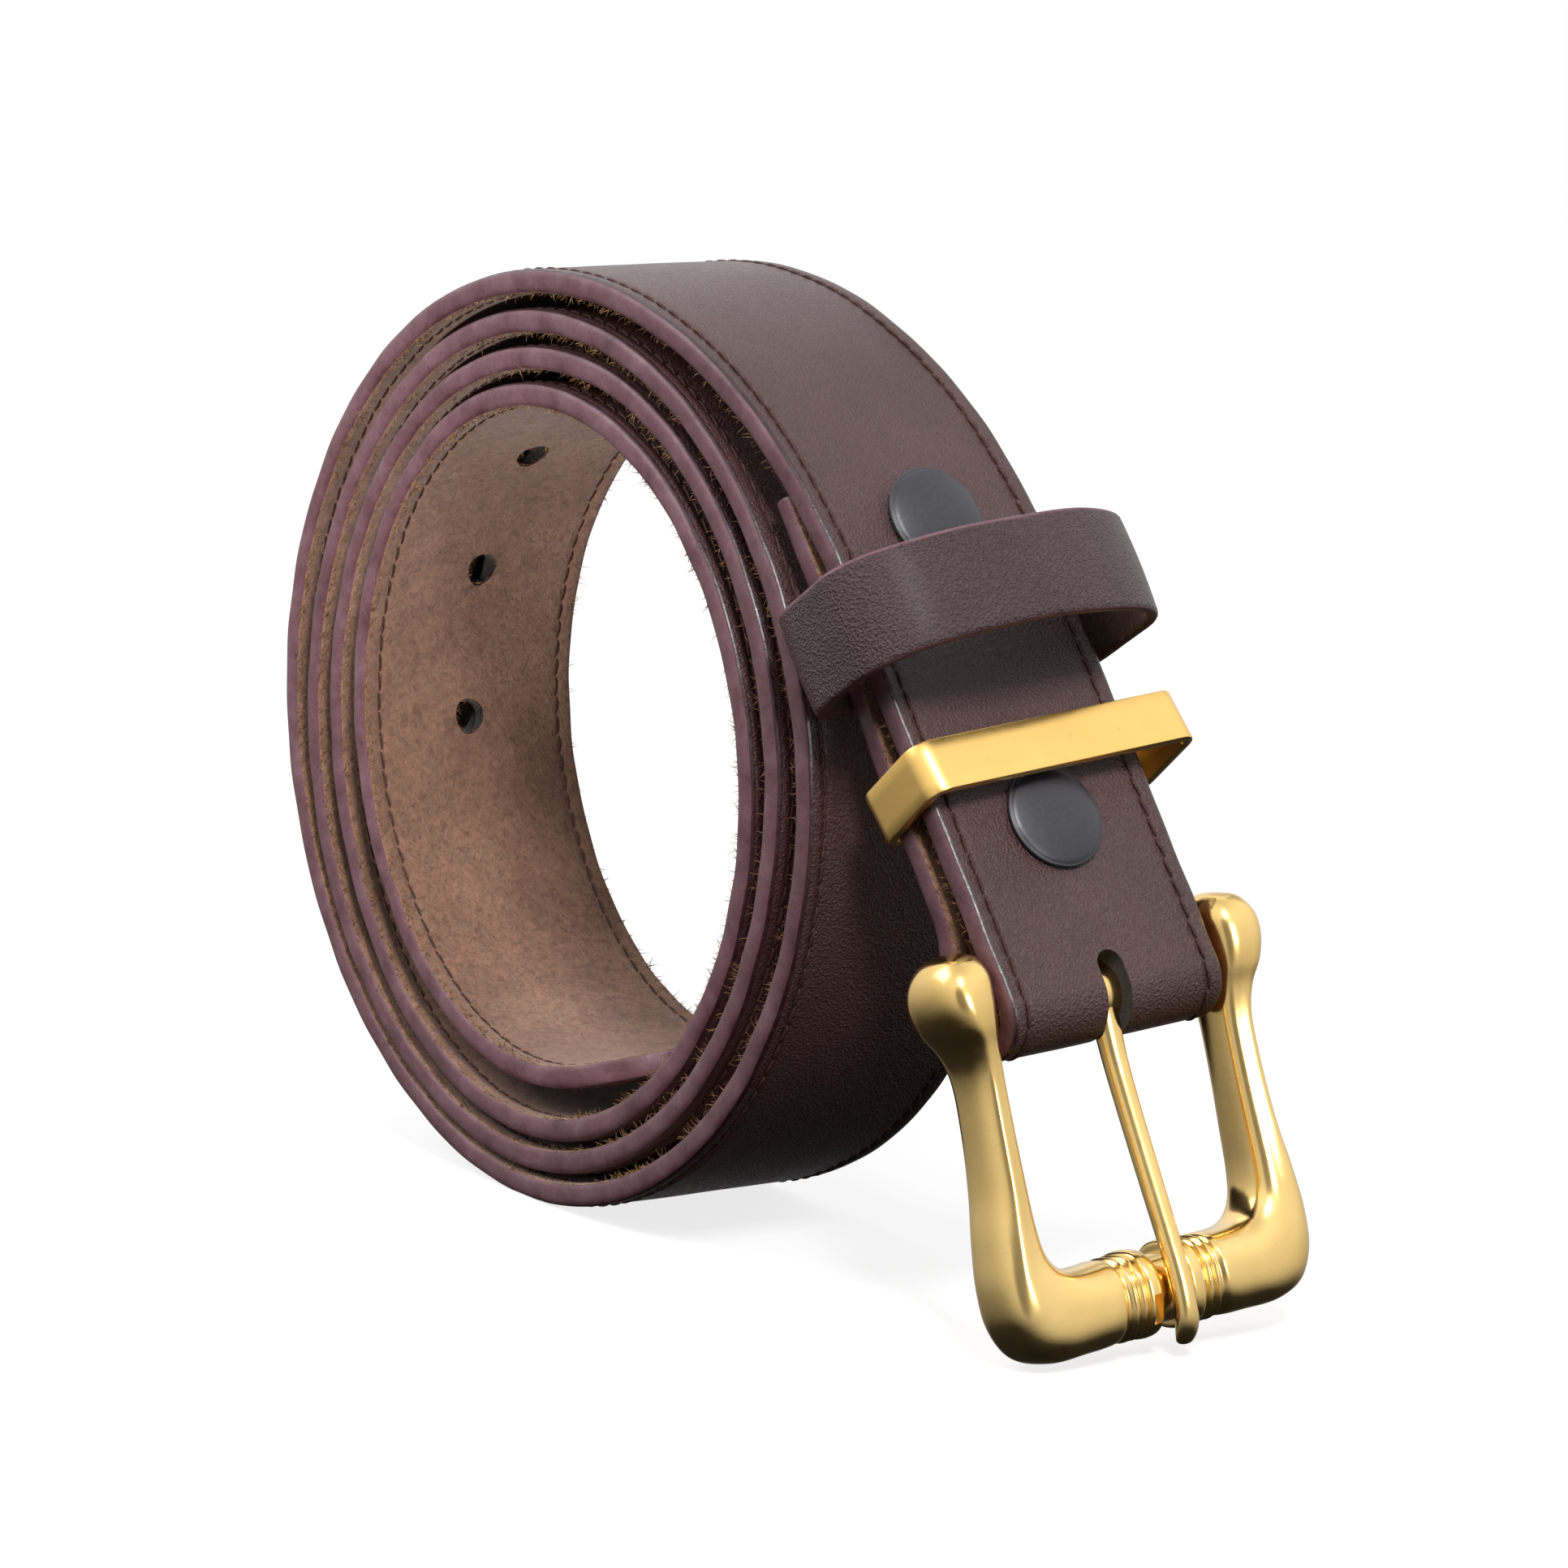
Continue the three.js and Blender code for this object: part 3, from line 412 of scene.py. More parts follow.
def mat_fibre():
    m = Mat("suede_fibre", roughness=0.9, Specular_IOR_Level=0.15)
    m.color(m.ramp(m.noise(900, 2), [(0.3, lin(96, 64, 44)), (0.5, lin(152, 114, 80)), (0.72, lin(196, 160, 118))]))
    return m.m


def mat_snap():
    m = Mat("snap_black_paint", Specular_IOR_Level=0.55, Coat_Weight=0.2, Coat_Roughness=0.35)
    m.color(m.ramp(m.noise(1500, 3, 0.6), [(0.3, lin(28, 28, 36)), (0.7, lin(42, 42, 52))]))
    m.rough(m.span(m.noise(1800, 2), 0.34, 0.46, 0.3, 0.7))
    m.bump(m.noise(2600, 3, 0.6), 0.012)
    return m.m


def mat_metal(name, dark, light, rough, pits=0.02, cloud=30):
    m = Mat(name, metallic=1.0)
    c = m.ramp(m.noise(cloud, 5, 0.6), [(0.3, dark), (0.7, light)])
    grime = m.ramp(m.noise(900, 4, 0.7), [(0.24, (0.35, 0.3, 0.22, 1)), (0.34, (1, 1, 1, 1))])
    m.color(m.mix(0.45, c, grime, "MULTIPLY"))
    m.rough(m.span(m.noise(260, 5, 0.7), rough[0], rough[1], 0.3, 0.7))
    m.bump(m.noise(140, 3), 0.03)
    m.bump(m.noise(1500, 3, 0.6), pits)
    return m.m


M_THREAD, M_FIBRE, M_SNAP = mat_thread(), mat_fibre(), mat_snap()
M_GOLD = mat_metal("buckle_gold", lin(232, 194, 118), lin(248, 214, 142), (0.14, 0.24), 0.006)
M_KGOLD = mat_metal("keeper_satin_gold", lin(236, 192, 108), lin(248, 208, 126), (0.26, 0.36), 0.006)
M_BAR = mat_metal("bar_brass", lin(176, 132, 64), lin(206, 160, 84), (0.24, 0.36), 0.01)
M_SPRING = mat_metal("spring_brass", lin(170, 128, 62), lin(196, 150, 76), (0.26, 0.38), 0.01)
M_STEEL = mat_metal("staple_steel", lin(150, 150, 150), lin(186, 186, 188), (0.26, 0.4), 0.01)
M_SNAPIN = mat_metal("snap_black_nickel", lin(58, 60, 64), lin(84, 86, 92), (0.3, 0.42), 0.01)

# ------------------------------------------------------------------ path of the strap
def spline(x, y, q):
    """natural cubic spline and its slope."""
    n = len(x)
    h = np.diff(x)
    A = np.zeros((n, n)); r = np.zeros((n,) + y.shape[1:])
    A[0, 0] = A[-1, -1] = 1
    for i in range(1, n - 1):
        A[i, i - 1], A[i, i], A[i, i + 1] = h[i - 1], 2 * (h[i - 1] + h[i]), h[i]
        r[i] = 6 * ((y[i + 1] - y[i]) / h[i] - (y[i] - y[i - 1]) / h[i - 1])
    m = np.linalg.solve(A, r)
    i = np.clip(np.searchsorted(x, q, side="right") - 1, 0, n - 2)
    a, b, hh = (x[i + 1] - q)[:, None], (q - x[i])[:, None], h[i][:, None]
    v = m[i] * a**3 / (6 * hh) + m[i + 1] * b**3 / (6 * hh) + (y[i] / hh - m[i] * hh / 6) * a + (y[i + 1] / hh - m[i + 1] * hh / 6) * b
    d = -m[i] * a**2 / (2 * hh) + m[i + 1] * b**2 / (2 * hh) - (y[i] / hh - m[i] * hh / 6) + (y[i + 1] / hh - m[i + 1] * hh / 6)
    return v, d


arc = np.concatenate([[0], np.cumsum(np.linalg.norm(np.diff(LINE, axis=0), axis=1))])
TOTAL = arc[-1] - 2.0
q = np.arange(0, arc[-1], 0.4)
xz, dxz = spline(arc, LINE, q)
tt = unit(dxz)
s_ = q - TOTAL
f_ = np.clip((s_ + VEER_RUN) / VEER_RUN, 0, 1)
yy = np.where(s_ >= 0, Y_SNAP + math.tan(VA) * s_, math.tan(VA) * VEER_RUN * f_**2 / 2)
# the turns sit a little in and out of line with each other
wander = 0.22 * np.sin(q / 71.0 + 0.6) + 0.14 * np.sin(q / 23.0 + 2.0)
yy = yy + wander * smooth(20, 90, q) * (1 - smooth(-160, -60, s_))
ps = VA * f_
t3 = np.stack([tt[:, 0], 0 * ps, tt[:, 1]], 1)
cP = np.stack([xz[:, 0], yy, xz[:, 1]], 1)
cN = np.stack([-tt[:, 1], 0 * ps, tt[:, 0]], 1)
cW = YV * np.cos(ps)[:, None] - t3 * np.sin(ps)[:, None]
sT = np.arange(2.6, 70.0, 0.4)
tP, tN, tW = P(sT, 0 * sT, 0 * sT - HALF), np.tile(nT, (len(sT), 1)), np.tile(wT, (len(sT), 1))
BAR = P(BAR_S, 0, -T - FOLD_R)
aF = np.linspace(0, np.pi, 49)
fN = np.cos(aF)[:, None] * nT + np.sin(aF)[:, None] * dT
fP = BAR + fN * (FOLD_R + HALF)
qf = np.arange(69.6, FLAP_END - 0.01, -0.4)
cc = lambda v: -T - np.where(np.asarray(v) > 65, 2 * FOLD_R, gap(v)) - HALF
dn = (cc(np.minimum(70, qf + 0.5)) - cc(qf - 0.5)) / 1.0
lP = P(qf, 0 * qf, cc(qf))
lN = unit(-nT + dn[:, None] * dT)
DP = np.concatenate([cP, tP, fP, lP])
DN = np.concatenate([cN, tN, fN, lN])
DW = np.concatenate([cW, tW, np.tile(wT, (len(aF), 1)), np.tile(wT, (len(qf), 1))])
DU = np.concatenate([[0], np.cumsum(np.linalg.norm(np.diff(DP, axis=0), axis=1))])
U_END = DU[-1]


def at(u):
    u = np.asarray(u, float)
    f = lambda D: np.stack([np.interp(u, DU, D[:, k]) for k in range(3)], -1)
    p, N, W = f(DP), unit(f(DN)), unit(f(DW))
    return p, N, W, unit(np.cross(W, N))


def on_strap(u, w, h):
    """point of the strap: u along from the tip, w across, h from the grain face (0) to the flesh face (-T)."""
    p, N, W, t = at(u)
    return p + np.asarray(w, float)[..., None] * W + (np.asarray(h, float)[..., None] + HALF) * N


# ------------------------------------------------------------------ strap
half = [(0, 0), (4, 0.02), (8, 0.03), (12, 0.02), (14.2, 0.02), (15.0, 0.01), (15.5, -0.05), (15.85, -0.17), (16.15, -0.22), (16.45, -0.17), (16.8, -0.04),
        (17.1, 0.03), (17.6, 0.03), (18.05, 0.0), (18.35, -0.08), (18.62, -0.26), (18.82, -0.5), (18.95, -0.82), (19.02, -1.25), (19.05, -1.75), (19.03, -2.3),
        (18.98, -2.75), (18.88, -3.08), (18.66, -3.34), (18.3, -3.48), (17.8, -3.5), (17.3, -3.52), (16.9, -3.5), (16.5, -3.38), (16.15, -3.32), (15.8, -3.38), (15.4, -3.5),
        (14.5, -3.5), (12, -3.5), (8, -3.5), (4, -3.5), (0, -3.5)]
GR, RI, ED = 13, 15, 23            # last index of the grain, rim and edge bands in the half section
sec = half + [(-w, h) for w, h in half[-2:0:-1]]
sec = np.array(sec)
Msec = len(sec)
nh = len(half)


def zone(j):
    k = j if j < nh - 1 else 2 * (nh - 1) - 1 - j
    return 0 if k < GR else 1 if k < RI else 2 if k < ED else 3


zones = np.array([zone(j) for j in range(Msec)])
tipx = np.array([0.0, 0.04, 0.12, 0.26, 0.45, 0.7, 1.0, 1.4, 1.9, 2.5, 3.2, 4.0, 5.0, 6.0, 7.0, 8.0, 9.0, 10.0, 11.0, 12.0, 13.0, 14.0, 15.0, 16.0])
us = np.concatenate([tipx, np.arange(17.0, DU[len(cP) + len(tP)] - 0.3, 1.15), np.arange(DU[len(cP) + len(tP)], DU[len(cP) + len(tP) + len(aF) - 1], 0.4), np.arange(DU[len(cP) + len(tP) + len(aF)], U_END - 1.0, 1.0), U_END - np.array([0.8, 0.45, 0.2, 0.06, 0.0])])
hw = np.where(us < TIP_R, 19 * np.sqrt(np.clip(1 - (1 - us / TIP_R) ** 2, 0, 1)), 19.0)
hw = np.maximum(hw, 0.7)
p, N, W, t = at(us)
gfade = smooth(14, 19, us)
secw = np.where(np.abs(sec[None, :, 0]) > 13, np.sign(sec[None, :, 0]) * np.maximum(hw[:, None] * np.abs(sec[None, :, 0]) / 19, hw[:, None] - (19 - np.abs(sec[None, :, 0]))), sec[None, :, 0] * np.minimum(1, (np.maximum(hw[:, None] * 13 / 19, hw[:, None] - 6)) / 13))
groove = (np.abs(sec[:, 0]) > 15) & (np.abs(sec[:, 0]) < 17.0)
flat_h = np.where(sec[:, 1] > -HALF, 0.0, -T)
sech = np.where(groove[None, :], flat_h[None, :] + (sec[:, 1] - flat_h)[None, :] * gfade[:, None], sec[None, :, 1])
# both ends are rounded over, and the faces are not dead flat
endr = np.minimum(1, np.sqrt(np.clip(1 - (1 - np.minimum(us, 0.9) / 0.9) ** 2, 0, 1)) * 0.75 + 0.25)
enda = np.minimum(endr, np.sqrt(np.clip(1 - (1 - np.minimum(U_END - us, 0.8) / 0.8) ** 2, 0, 1)) * 0.4 + 0.6)
sech = -HALF + (sech + HALF) * enda[:, None]
ripple = 0.05 * np.sin(us / 9.0)[:, None] * np.cos(sec[None, :, 0] / 6.0) + 0.035 * np.sin(us / 4.1 + 1.0)[:, None] * np.sin(sec[None, :, 0] / 4.0 + 0.5)
edge_wave = (0.05 * np.sin(us / 2.9 + 0.7 * np.sin(us / 7.3)) + 0.04 * np.sin(us / 1.7 + 2.0))[:, None] * (np.abs(sec[None, :, 0]) > 17.9) * np.sign(sec[None, :, 0])
near = (smooth(-14, -4, us - TOTAL) * (1 - smooth(60, 68, us - TOTAL)))[:, None]
sech = sech + ripple * (1 - 0.8 * near) * np.where(sec[None, :, 1] > -HALF, 1, 0.6)
R = p[:, None, :] + (secw + edge_wave)[..., None] * W[:, None, :] + (sech + HALF)[..., None] * N[:, None, :]
R[..., 2] = np.maximum(R[..., 2], 0.01)
idx = np.tile(zones, (len(us) - 1, 1))
strap = loft("strap_leather", R, [M_GRAIN, M_RIM, M_EDGE, M_FLESH, M_CUT_SHADE], idx)
for k in (-1, -2):
    strap.data.polygons[len(strap.data.polygons) + k].material_index = 2


# holes and the prong slot
def cutter(rings):
    rings = np.asarray(rings)
    R_, M_ = rings.shape[:2]
    f = [tuple(x) for x in grid_faces(R_, M_)] + [tuple(range(M_))[::-1], tuple((R_ - 1) * M_ + k for k in range(M_))]
    return rings.reshape(-1, 3), f


cv, cf = [], []


def add_cut(rings):
    v, f = cutter(rings)
    o = sum(len(x) for x in cv)
    cv.append(v)
    cf.extend([tuple(i + o for i in g) for g in f])


ang = 2 * np.pi * np.arange(28) / 28
hole_u = [HOLE_FIRST + HOLE_PITCH * k for k in range(HOLES)]
for u0 in hole_u:
    pp, NN, WW, tg = (x[0] for x in at([u0]))
    rings = []
    for h, r in ((0.9, HOLE_R + 0.75), (0.1, HOLE_R + 0.12), (-0.4, HOLE_R), (-T + 0.5, HOLE_R), (-T - 0.05, HOLE_R + 0.2), (-T - 0.8, HOLE_R + 0.7)):
        rr = r * (1 + 0.05 * np.sin(3 * ang + u0))
        rings.append(pp + (h + HALF) * NN + (rr * np.cos(ang))[:, None] * WW + (rr * 1.08 * np.sin(ang))[:, None] * tg)
    add_cut(rings)
# slot: a long hole across the fold
hs, s0 = 2.15, 65.9
ca = np.linspace(0, np.pi, 15)
out = [(hs * math.cos(a), s0 + hs - hs * math.sin(a)) for a in ca] + [(-hs, 82.0), (hs, 82.0)]
out = np.array(out)
add_cut([P(out[:, 1], out[:, 0], np.full(len(out), n)) for n in (1.5, -2 * T - 8.0)])
# the cut faces take material 4, the near-black suede that paints the recess shade
cut = make("cutter", np.concatenate(cv), cf, [M_GRAIN, M_RIM, M_EDGE, M_FLESH, M_CUT_SHADE], np.full(len(cf), 4))
fix_normals(cut)
mod = strap.modifiers.new("holes", "BOOLEAN")
mod.object, mod.operation, mod.solver = cut, "DIFFERENCE", "EXACT"
bpy.context.view_layer.update()
done = bpy.data.meshes.new_from_object(strap.evaluated_get(bpy.context.evaluated_depsgraph_get()))
strap.modifiers.clear()
strap.data = done
bpy.data.objects.remove(cut)
strap.data.set_sharp_from_angle(angle=math.radians(50))
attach(strap, "strap_body"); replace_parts(strap, "strap")

# ------------------------------------------------------------------ stitches
def stitches(name, sign):
    pitch, length = 3.1, 2.9
    K, S = 8, 6
    sides = 2 * np.pi * np.arange(S) / S
    verts, faces, n = [], [], 0
    lines = []
    a = np.linspace(0, 1, 200)
    for face in (0, 1):
        # straight run, with its quarter of the curve round the tip
        th = a * np.pi / 2
        cu = 2.9 + 14.1 * (1 - np.cos(th)); cw = 16.15 * np.sin(th)
        uu = np.concatenate([cu[:-1], np.arange(17.0, U_END - 1.2, 0.5)])
        ww = np.concatenate([cw[:-1], np.full(len(uu) - len(cu) + 1, 16.15)])
        L = np.concatenate([[0], np.cumsum(np.hypot(np.diff(uu), np.diff(ww)))])
        lines.append((face, uu, ww, L))
    for face, uu, ww, L in lines:
        count = int(L[-1] / pitch)
        for k in range(count):
            c0 = 0.25 + pitch * k + (0.5 * pitch if face else 0)
            if c0 + length > L[-1]:
                continue
            e = np.linspace(0, 1, K)
            l = c0 + length * e
            u, w = np.interp(l, L, uu), np.interp(l, L, ww)
            um = u.mean()
            arch = np.sin(np.pi * e) ** 0.6
            jit = rng.normal(0, 0.05)
            slant = (e - 0.5) * (0.26 + rng.normal(0, 0.06))
            h = (-0.24 + 0.24 * arch) if face == 0 else (-T + 0.26 - 0.22 * arch)
            pt, Nn, Wn, tn = at(u)
            path = pt + (sign * (w + slant + jit))[:, None] * Wn + (h + HALF)[:, None] * Nn
            r = (0.27 if face == 0 else 0.2) * (0.45 + 0.55 * np.sin(np.pi * (0.08 + 0.84 * e)) ** 0.5)
            tw = sides[None, :] * 1.0
            lob = 1 + 0.2 * np.cos(2 * (tw - 2 * np.pi * (e * length / 1.5)[:, None]))
            ring = path[:, None, :] + (r[:, None] * lob * np.cos(tw))[..., None] * Wn[:, None, :] + (0.82 * r[:, None] * lob * np.sin(tw))[..., None] * Nn[:, None, :]
            verts.append(ring.reshape(-1, 3))
            f = grid_faces(K, S) + n
            faces.extend(map(tuple, f))
            faces.append(tuple(range(n, n + S))[::-1])
            faces.append(tuple(n + (K - 1) * S + j for j in range(S)))
            n += K * S
    v = np.concatenate(verts)
    v[:, 2] = np.maximum(v[:, 2], 0.02)
    o = make(name, v, faces, [M_THREAD])
    fix_normals(o)
    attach(o, "strap_body")
    return o


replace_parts(stitches("stitches_front", -1), "stitch_thread_front")
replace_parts(stitches("stitches_back", 1), "stitch_thread_back")

# ------------------------------------------------------------------ loose fibres along the flesh-side edges and round the holes
def fibres(name, roots, dirs, length, radius, body, mat):
    n = len(roots)
    K, S = 4, 3
    side = unit(np.cross(dirs, rng.normal(size=(n, 3))))
    curl = rng.normal(0, 0.45, (n, 1)) * length[:, None]
    a = 2 * np.pi * np.arange(S) / S
    verts = []
    for k in range(K):
        e = k / (K - 1)
        c = roots + dirs * (length[:, None] * e) + side * curl * e * e
        r = radius * (1 - 0.75 * e)
        up = unit(np.cross(dirs, side))
        ring = c[:, None, :] + r * (np.cos(a)[None, :, None] * side[:, None, :] + np.sin(a)[None, :, None] * up[:, None, :])
        verts.append(ring)
    v = np.stack(verts, 1).reshape(-1, 3)
    base = (np.arange(n) * K * S)[:, None, None]
    quad = (grid_faces(K, S)[None] + base).reshape(-1, 4)
    tri0 = (np.array([[2, 1, 0]])[None] + base).reshape(-1, 3)
    tri1 = (np.array([[0, 1, 2]])[None] + (K - 1) * S + base).reshape(-1, 3)
    v[:, 2] = np.maximum(v[:, 2], 0.02)
    o = make(name, v, [tuple(x) for x in quad] + [tuple(x) for x in tri0] + [tuple(x) for x in tri1], [mat])
    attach(o, body)
    return o


nf = 9500
fu = rng.uniform(8, U_END - 2, nf)
clump = 0.5 + 0.5 * np.sin(fu / 6.0 + 3 * np.sin(fu / 17.0))
keep = rng.uniform(size=nf) < 0.25 + 0.75 * clump
fu = fu[keep]; nf = len(fu)
sg = np.where(rng.uniform(size=nf) < 0.62, -1.0, 1.0)
fw = np.where(fu < TIP_R, 19 * np.sqrt(np.clip(1 - (1 - fu / TIP_R) ** 2, 0, 1)), 19.0) - rng.uniform(0.35, 1.5, nf)
fp, fN_, fW, ft = at(fu)
roots = fp + (sg * fw)[:, None] * fW + (-T + HALF + 0.12) * fN_
dirs = unit(sg[:, None] * fW * rng.uniform(0.1, 1.0, (nf, 1)) - fN_ * rng.uniform(0.15, 0.9, (nf, 1)) + ft * rng.normal(0, 0.7, (nf, 1)))
fib = fibres("edge_fibres", roots, dirs, rng.uniform(0.35, 1.6, nf), 0.075, "strap_body", M_FIBRE)
hr, hd = [], []
for u0 in hole_u:
    pp, NN, WW, tg = (x[0] for x in at([u0]))
    for a in rng.uniform(0, 2 * np.pi, 60):
        rad_ = math.cos(a) * WW + math.sin(a) * tg
        hr.append(pp + (HOLE_R + 0.35) * rad_ - (HALF - 0.15) * NN)
        hd.append(unit(-rad_ * rng.uniform(0.1, 1) - NN * rng.uniform(0.1, 0.8) + np.cross(rad_, NN) * rng.normal(0, 0.5)))
hfib = fibres("hole_fibres", np.array(hr), np.array(hd), rng.uniform(0.4, 1.2, len(hr)), 0.05, "strap_body", M_FIBRE)

# ------------------------------------------------------------------ snaps
for s, tag in ((0.0, "upper"), (SNAP_PITCH, "lower")):
    o3 = P(s, 0, 0)
    g = float(gap(s)); rec = (3.8 - g) / 2
    H0, H1, F = -T + rec, -T - g - rec, -2 * T - g
    ex, ey, ez = wT, np.cross(nT, wT), nT
    dome = [(0, 2.12)] + [(r, 2.12 - 1.02 * (r / 7.0) ** 2.3) for r in np.linspace(0.7, 6.9, 14)]
    cap = dome + [(7.1, 1.0), (7.22, 0.9), (7.3, 0.86), (7.45, 0.84), (7.6, 0.74), (7.66, 0.58), (7.6, 0.4), (7.45, 0.26), (7.2, 0.1), (2.1, 0.1), (2.1, H0 - 1.05), (2.9, H0 - 1.05), (2.9, H0 - 1.25), (0, H0 - 1.25)]
    pieces = {
        "cap": lathe("snap_%s_cap_dome" % tag, cap, o3, ex, ey, ez, [M_SNAP], 96, sharp=60),
        "socket": lathe("snap_%s_socket_ring" % tag, [(2.45, H0 - 0.3), (5.0, H0 - 0.3), (5.45, H0 - 0.4), (5.7, H0 - 0.75), (5.7, H0 - 2.05), (5.55, H0 - 2.2), (4.3, H0 - 2.2), (4.15, H0 - 2.05), (4.15, H0 - 0.75), (2.45, H0 - 0.75)], o3, ex, ey, ez, [M_SNAPIN], 64, closed=True),
        "stud": lathe("snap_%s_stud_ring" % tag, [(1.9, H1 + 0.3), (5.25, H1 + 0.3), (5.4, H1 + 0.45), (5.4, H1 + 0.75), (5.0, H1 + 1.1), (2.95, H1 + 1.1), (2.75, H1 + 1.3), (2.75, H0 - 2.2), (2.9, H0 - 2.0), (2.85, H0 - 1.7), (2.6, H0 - 1.55), (1.9, H0 - 1.55)], o3, ex, ey, ez, [M_SNAPIN], 64, closed=True),
        "post": lathe("snap_%s_post_head" % tag, [(0, F - 0.28), (1.6, F - 0.26), (3.0, F - 0.16), (3.8, F + 0.02), (4.2, F + 0.3), (4.2, F + 0.6), (1.6, F + 0.6), (1.6, H0 - 1.7), (0, H0 - 1.7)], o3, ex, ey, ez, [M_SNAP], 64, sharp=50),
    }
    aa = np.linspace(0.35, 2 * np.pi - 0.35, 60)
    pieces["spring"] = tube("snap_%s_spring_ring" % tag, o3 + (3.55 * np.cos(aa))[:, None] * ex + (3.55 * np.sin(aa))[:, None] * ey + (H0 - 1.75) * ez, 0.26, [M_SPRING], 10)
    for k, o in pieces.items():
        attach(o, "strap_body"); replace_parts(o, "snap_%s_%s" % (tag, k))

# ------------------------------------------------------------------ leather keeper
KP = dict(s0=7.3, width=15.4, a=26.2, up=13.2, down=15.65, n0=4.0, w0=-0.4, t=1.75, pu=2.1, pd=6.5)


def keeper_point(phi, off):
    c, s = np.cos(phi), np.sin(phi)
    pw = np.where(s >= 0, KP["pu"], KP["pd"]); b = np.where(s >= 0, KP["up"], KP["down"])
    return np.stack([KP["w0"] + KP["a"] * np.sign(c) * np.abs(c) ** (2 / pw), KP["n0"] + b * np.sign(s) * np.abs(s) ** (2 / pw)], -1)


phi = np.linspace(-np.pi / 2, 1.5 * np.pi, 6001)
kc = keeper_point(phi, 0)
kl = np.concatenate([[0], np.cumsum(np.linalg.norm(np.diff(kc, axis=0), axis=1))])
nk = 300
kx = np.linspace(0.12, kl[-1] - 0.12, nk)
ko = np.stack([np.interp(kx, kl, kc[:, i]) for i in (0, 1)], 1)
kt = unit(np.gradient(ko, axis=0))
for _ in range(6):
    kt[1:-1] = unit(kt[:-2] + kt[1:-1] * 2 + kt[2:])
kn = np.stack([kt[:, 1], -kt[:, 0]], 1)          # outward
tk, wd = KP["t"], KP["width"]
prof = []                                         # (offset inwards, along the strap), zone
e1 = [(0.0, z, 0) for z in np.linspace(0.9, wd - 0.9, 15)]
e2 = [(0.03, wd - 0.55, 0), (0.14, wd - 0.25, 1), (0.34, wd - 0.06, 1), (0.62, wd + 0.02, 1), (1.1, wd + 0.0, 1), (1.4, wd - 0.12, 2), (1.62, wd - 0.32, 2), (1.74, wd - 0.62, 2)]
e3 = [(tk, z, 2) for z in np.linspace(wd - 0.95, 0.95, 11)]
e4 = [(o_, wd - z_, zz) for o_, z_, zz in e2[::-1]]
prof = e1 + e2 + e3 + e4
kz = np.array([c for _, _, c in prof])
pr = np.array([(a_, b_) for a_, b_, _ in prof])
bow = 0.25 * np.sin(np.pi * (pr[:, 1] / wd)) * (pr[:, 0] < 0.3)
wob = 0.18 * np.sin(kx / 7.0) + 0.1 * np.sin(kx / 3.1 + 1)
rk = []
for i in range(nk):
    off = pr[:, 0] - bow
    xy = ko[i] - off[:, None] * kn[i]
    zz = pr[:, 1] + wob[i] * (pr[:, 1] / wd - 0.5)
    rk.append(P(KP["s0"] + zz, xy[:, 0], xy[:, 1]))
kidx = np.tile(kz, (nk - 1, 1))
# the inner face (zone 2) takes the lining suede, darkened with painted shade
keeper = loft("keeper_loop_leather", rk, [M_KEEP, M_EDGE, M_KSUEDE_SHADE], kidx, sharp=55)
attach(keeper, "leather_keeper"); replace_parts(keeper, "leather_keeper")
nkf = 700
ki = rng.integers(5, nk - 5, nkf)
lo = rng.uniform(size=nkf) < 0.35
rt = ko[ki] - (tk - 0.12) * kn[ki]
roots = P(KP["s0"] + np.where(lo, 0.5, wd - 0.5), rt[:, 0], rt[:, 1])
dk = unit(np.where(lo, -1.0, 1.0)[:, None] * dT * rng.uniform(0.2, 1, (nkf, 1)) - (kn[ki][:, :1] * wT + kn[ki][:, 1:] * nT) * rng.uniform(0.0, 0.7, (nkf, 1)) + rng.normal(0, 0.35, (nkf, 3)))
fibres("keeper_fibres", roots, dk, rng.uniform(0.25, 0.7, nkf), 0.05, "leather_keeper", M_FIBRE)

# staple of the keeper's joint, round wire
back = KP["n0"] - KP["down"]
o_, i_, sm = back - 0.6, back + KP["t"] + 0.36, KP["s0"] + KP["width"] / 2
sp = [(-0.6, i_), (-2.2, i_ + 0.05), (-2.6, i_ - 0.35), (-2.6, back + 0.8), (-2.6, o_ + 0.4), (-2.2, o_), (0, o_), (2.2, o_), (2.6, o_ + 0.4), (2.6, back + 0.8), (2.6, i_ - 0.35), (2.2, i_ + 0.05), (0.6, i_)]
sp = catmull(sp, 6)
st = tube("staple_wire", P(np.full(len(sp), sm), KP["w0"] + sp[:, 0], sp[:, 1]), 0.34, [M_STEEL], 12)
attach(st, "leather_keeper"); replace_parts(st, "keeper_staple")

# ------------------------------------------------------------------ metal keeper
LP = dict(s0=32.7, width=7.8, half=24.0, w0=2.9, top=4.2, bottom=-12.25, t=1.6, r=3.2, tilt=-0.124, turn=1.1)
hx, hy, mid = LP["half"], (LP["top"] - LP["bottom"]) / 2, (LP["top"] + LP["bottom"]) / 2


def rrect(off):
    r = LP["r"] - off if off < 1.2 else 1.5
    x, y = hx - off, hy - off
    pts = []
    for cx, cy, a0 in ((x - r, y - r, 0), (-x + r, y - r, 90), (-x + r, -y + r, 180), (x - r, -y + r, 270)):
        for a in np.linspace(a0, a0 + 90, 15):
            pts.append((cx + r * math.cos(math.radians(a)), cy + r * math.sin(math.radians(a))))
    return np.array(pts)


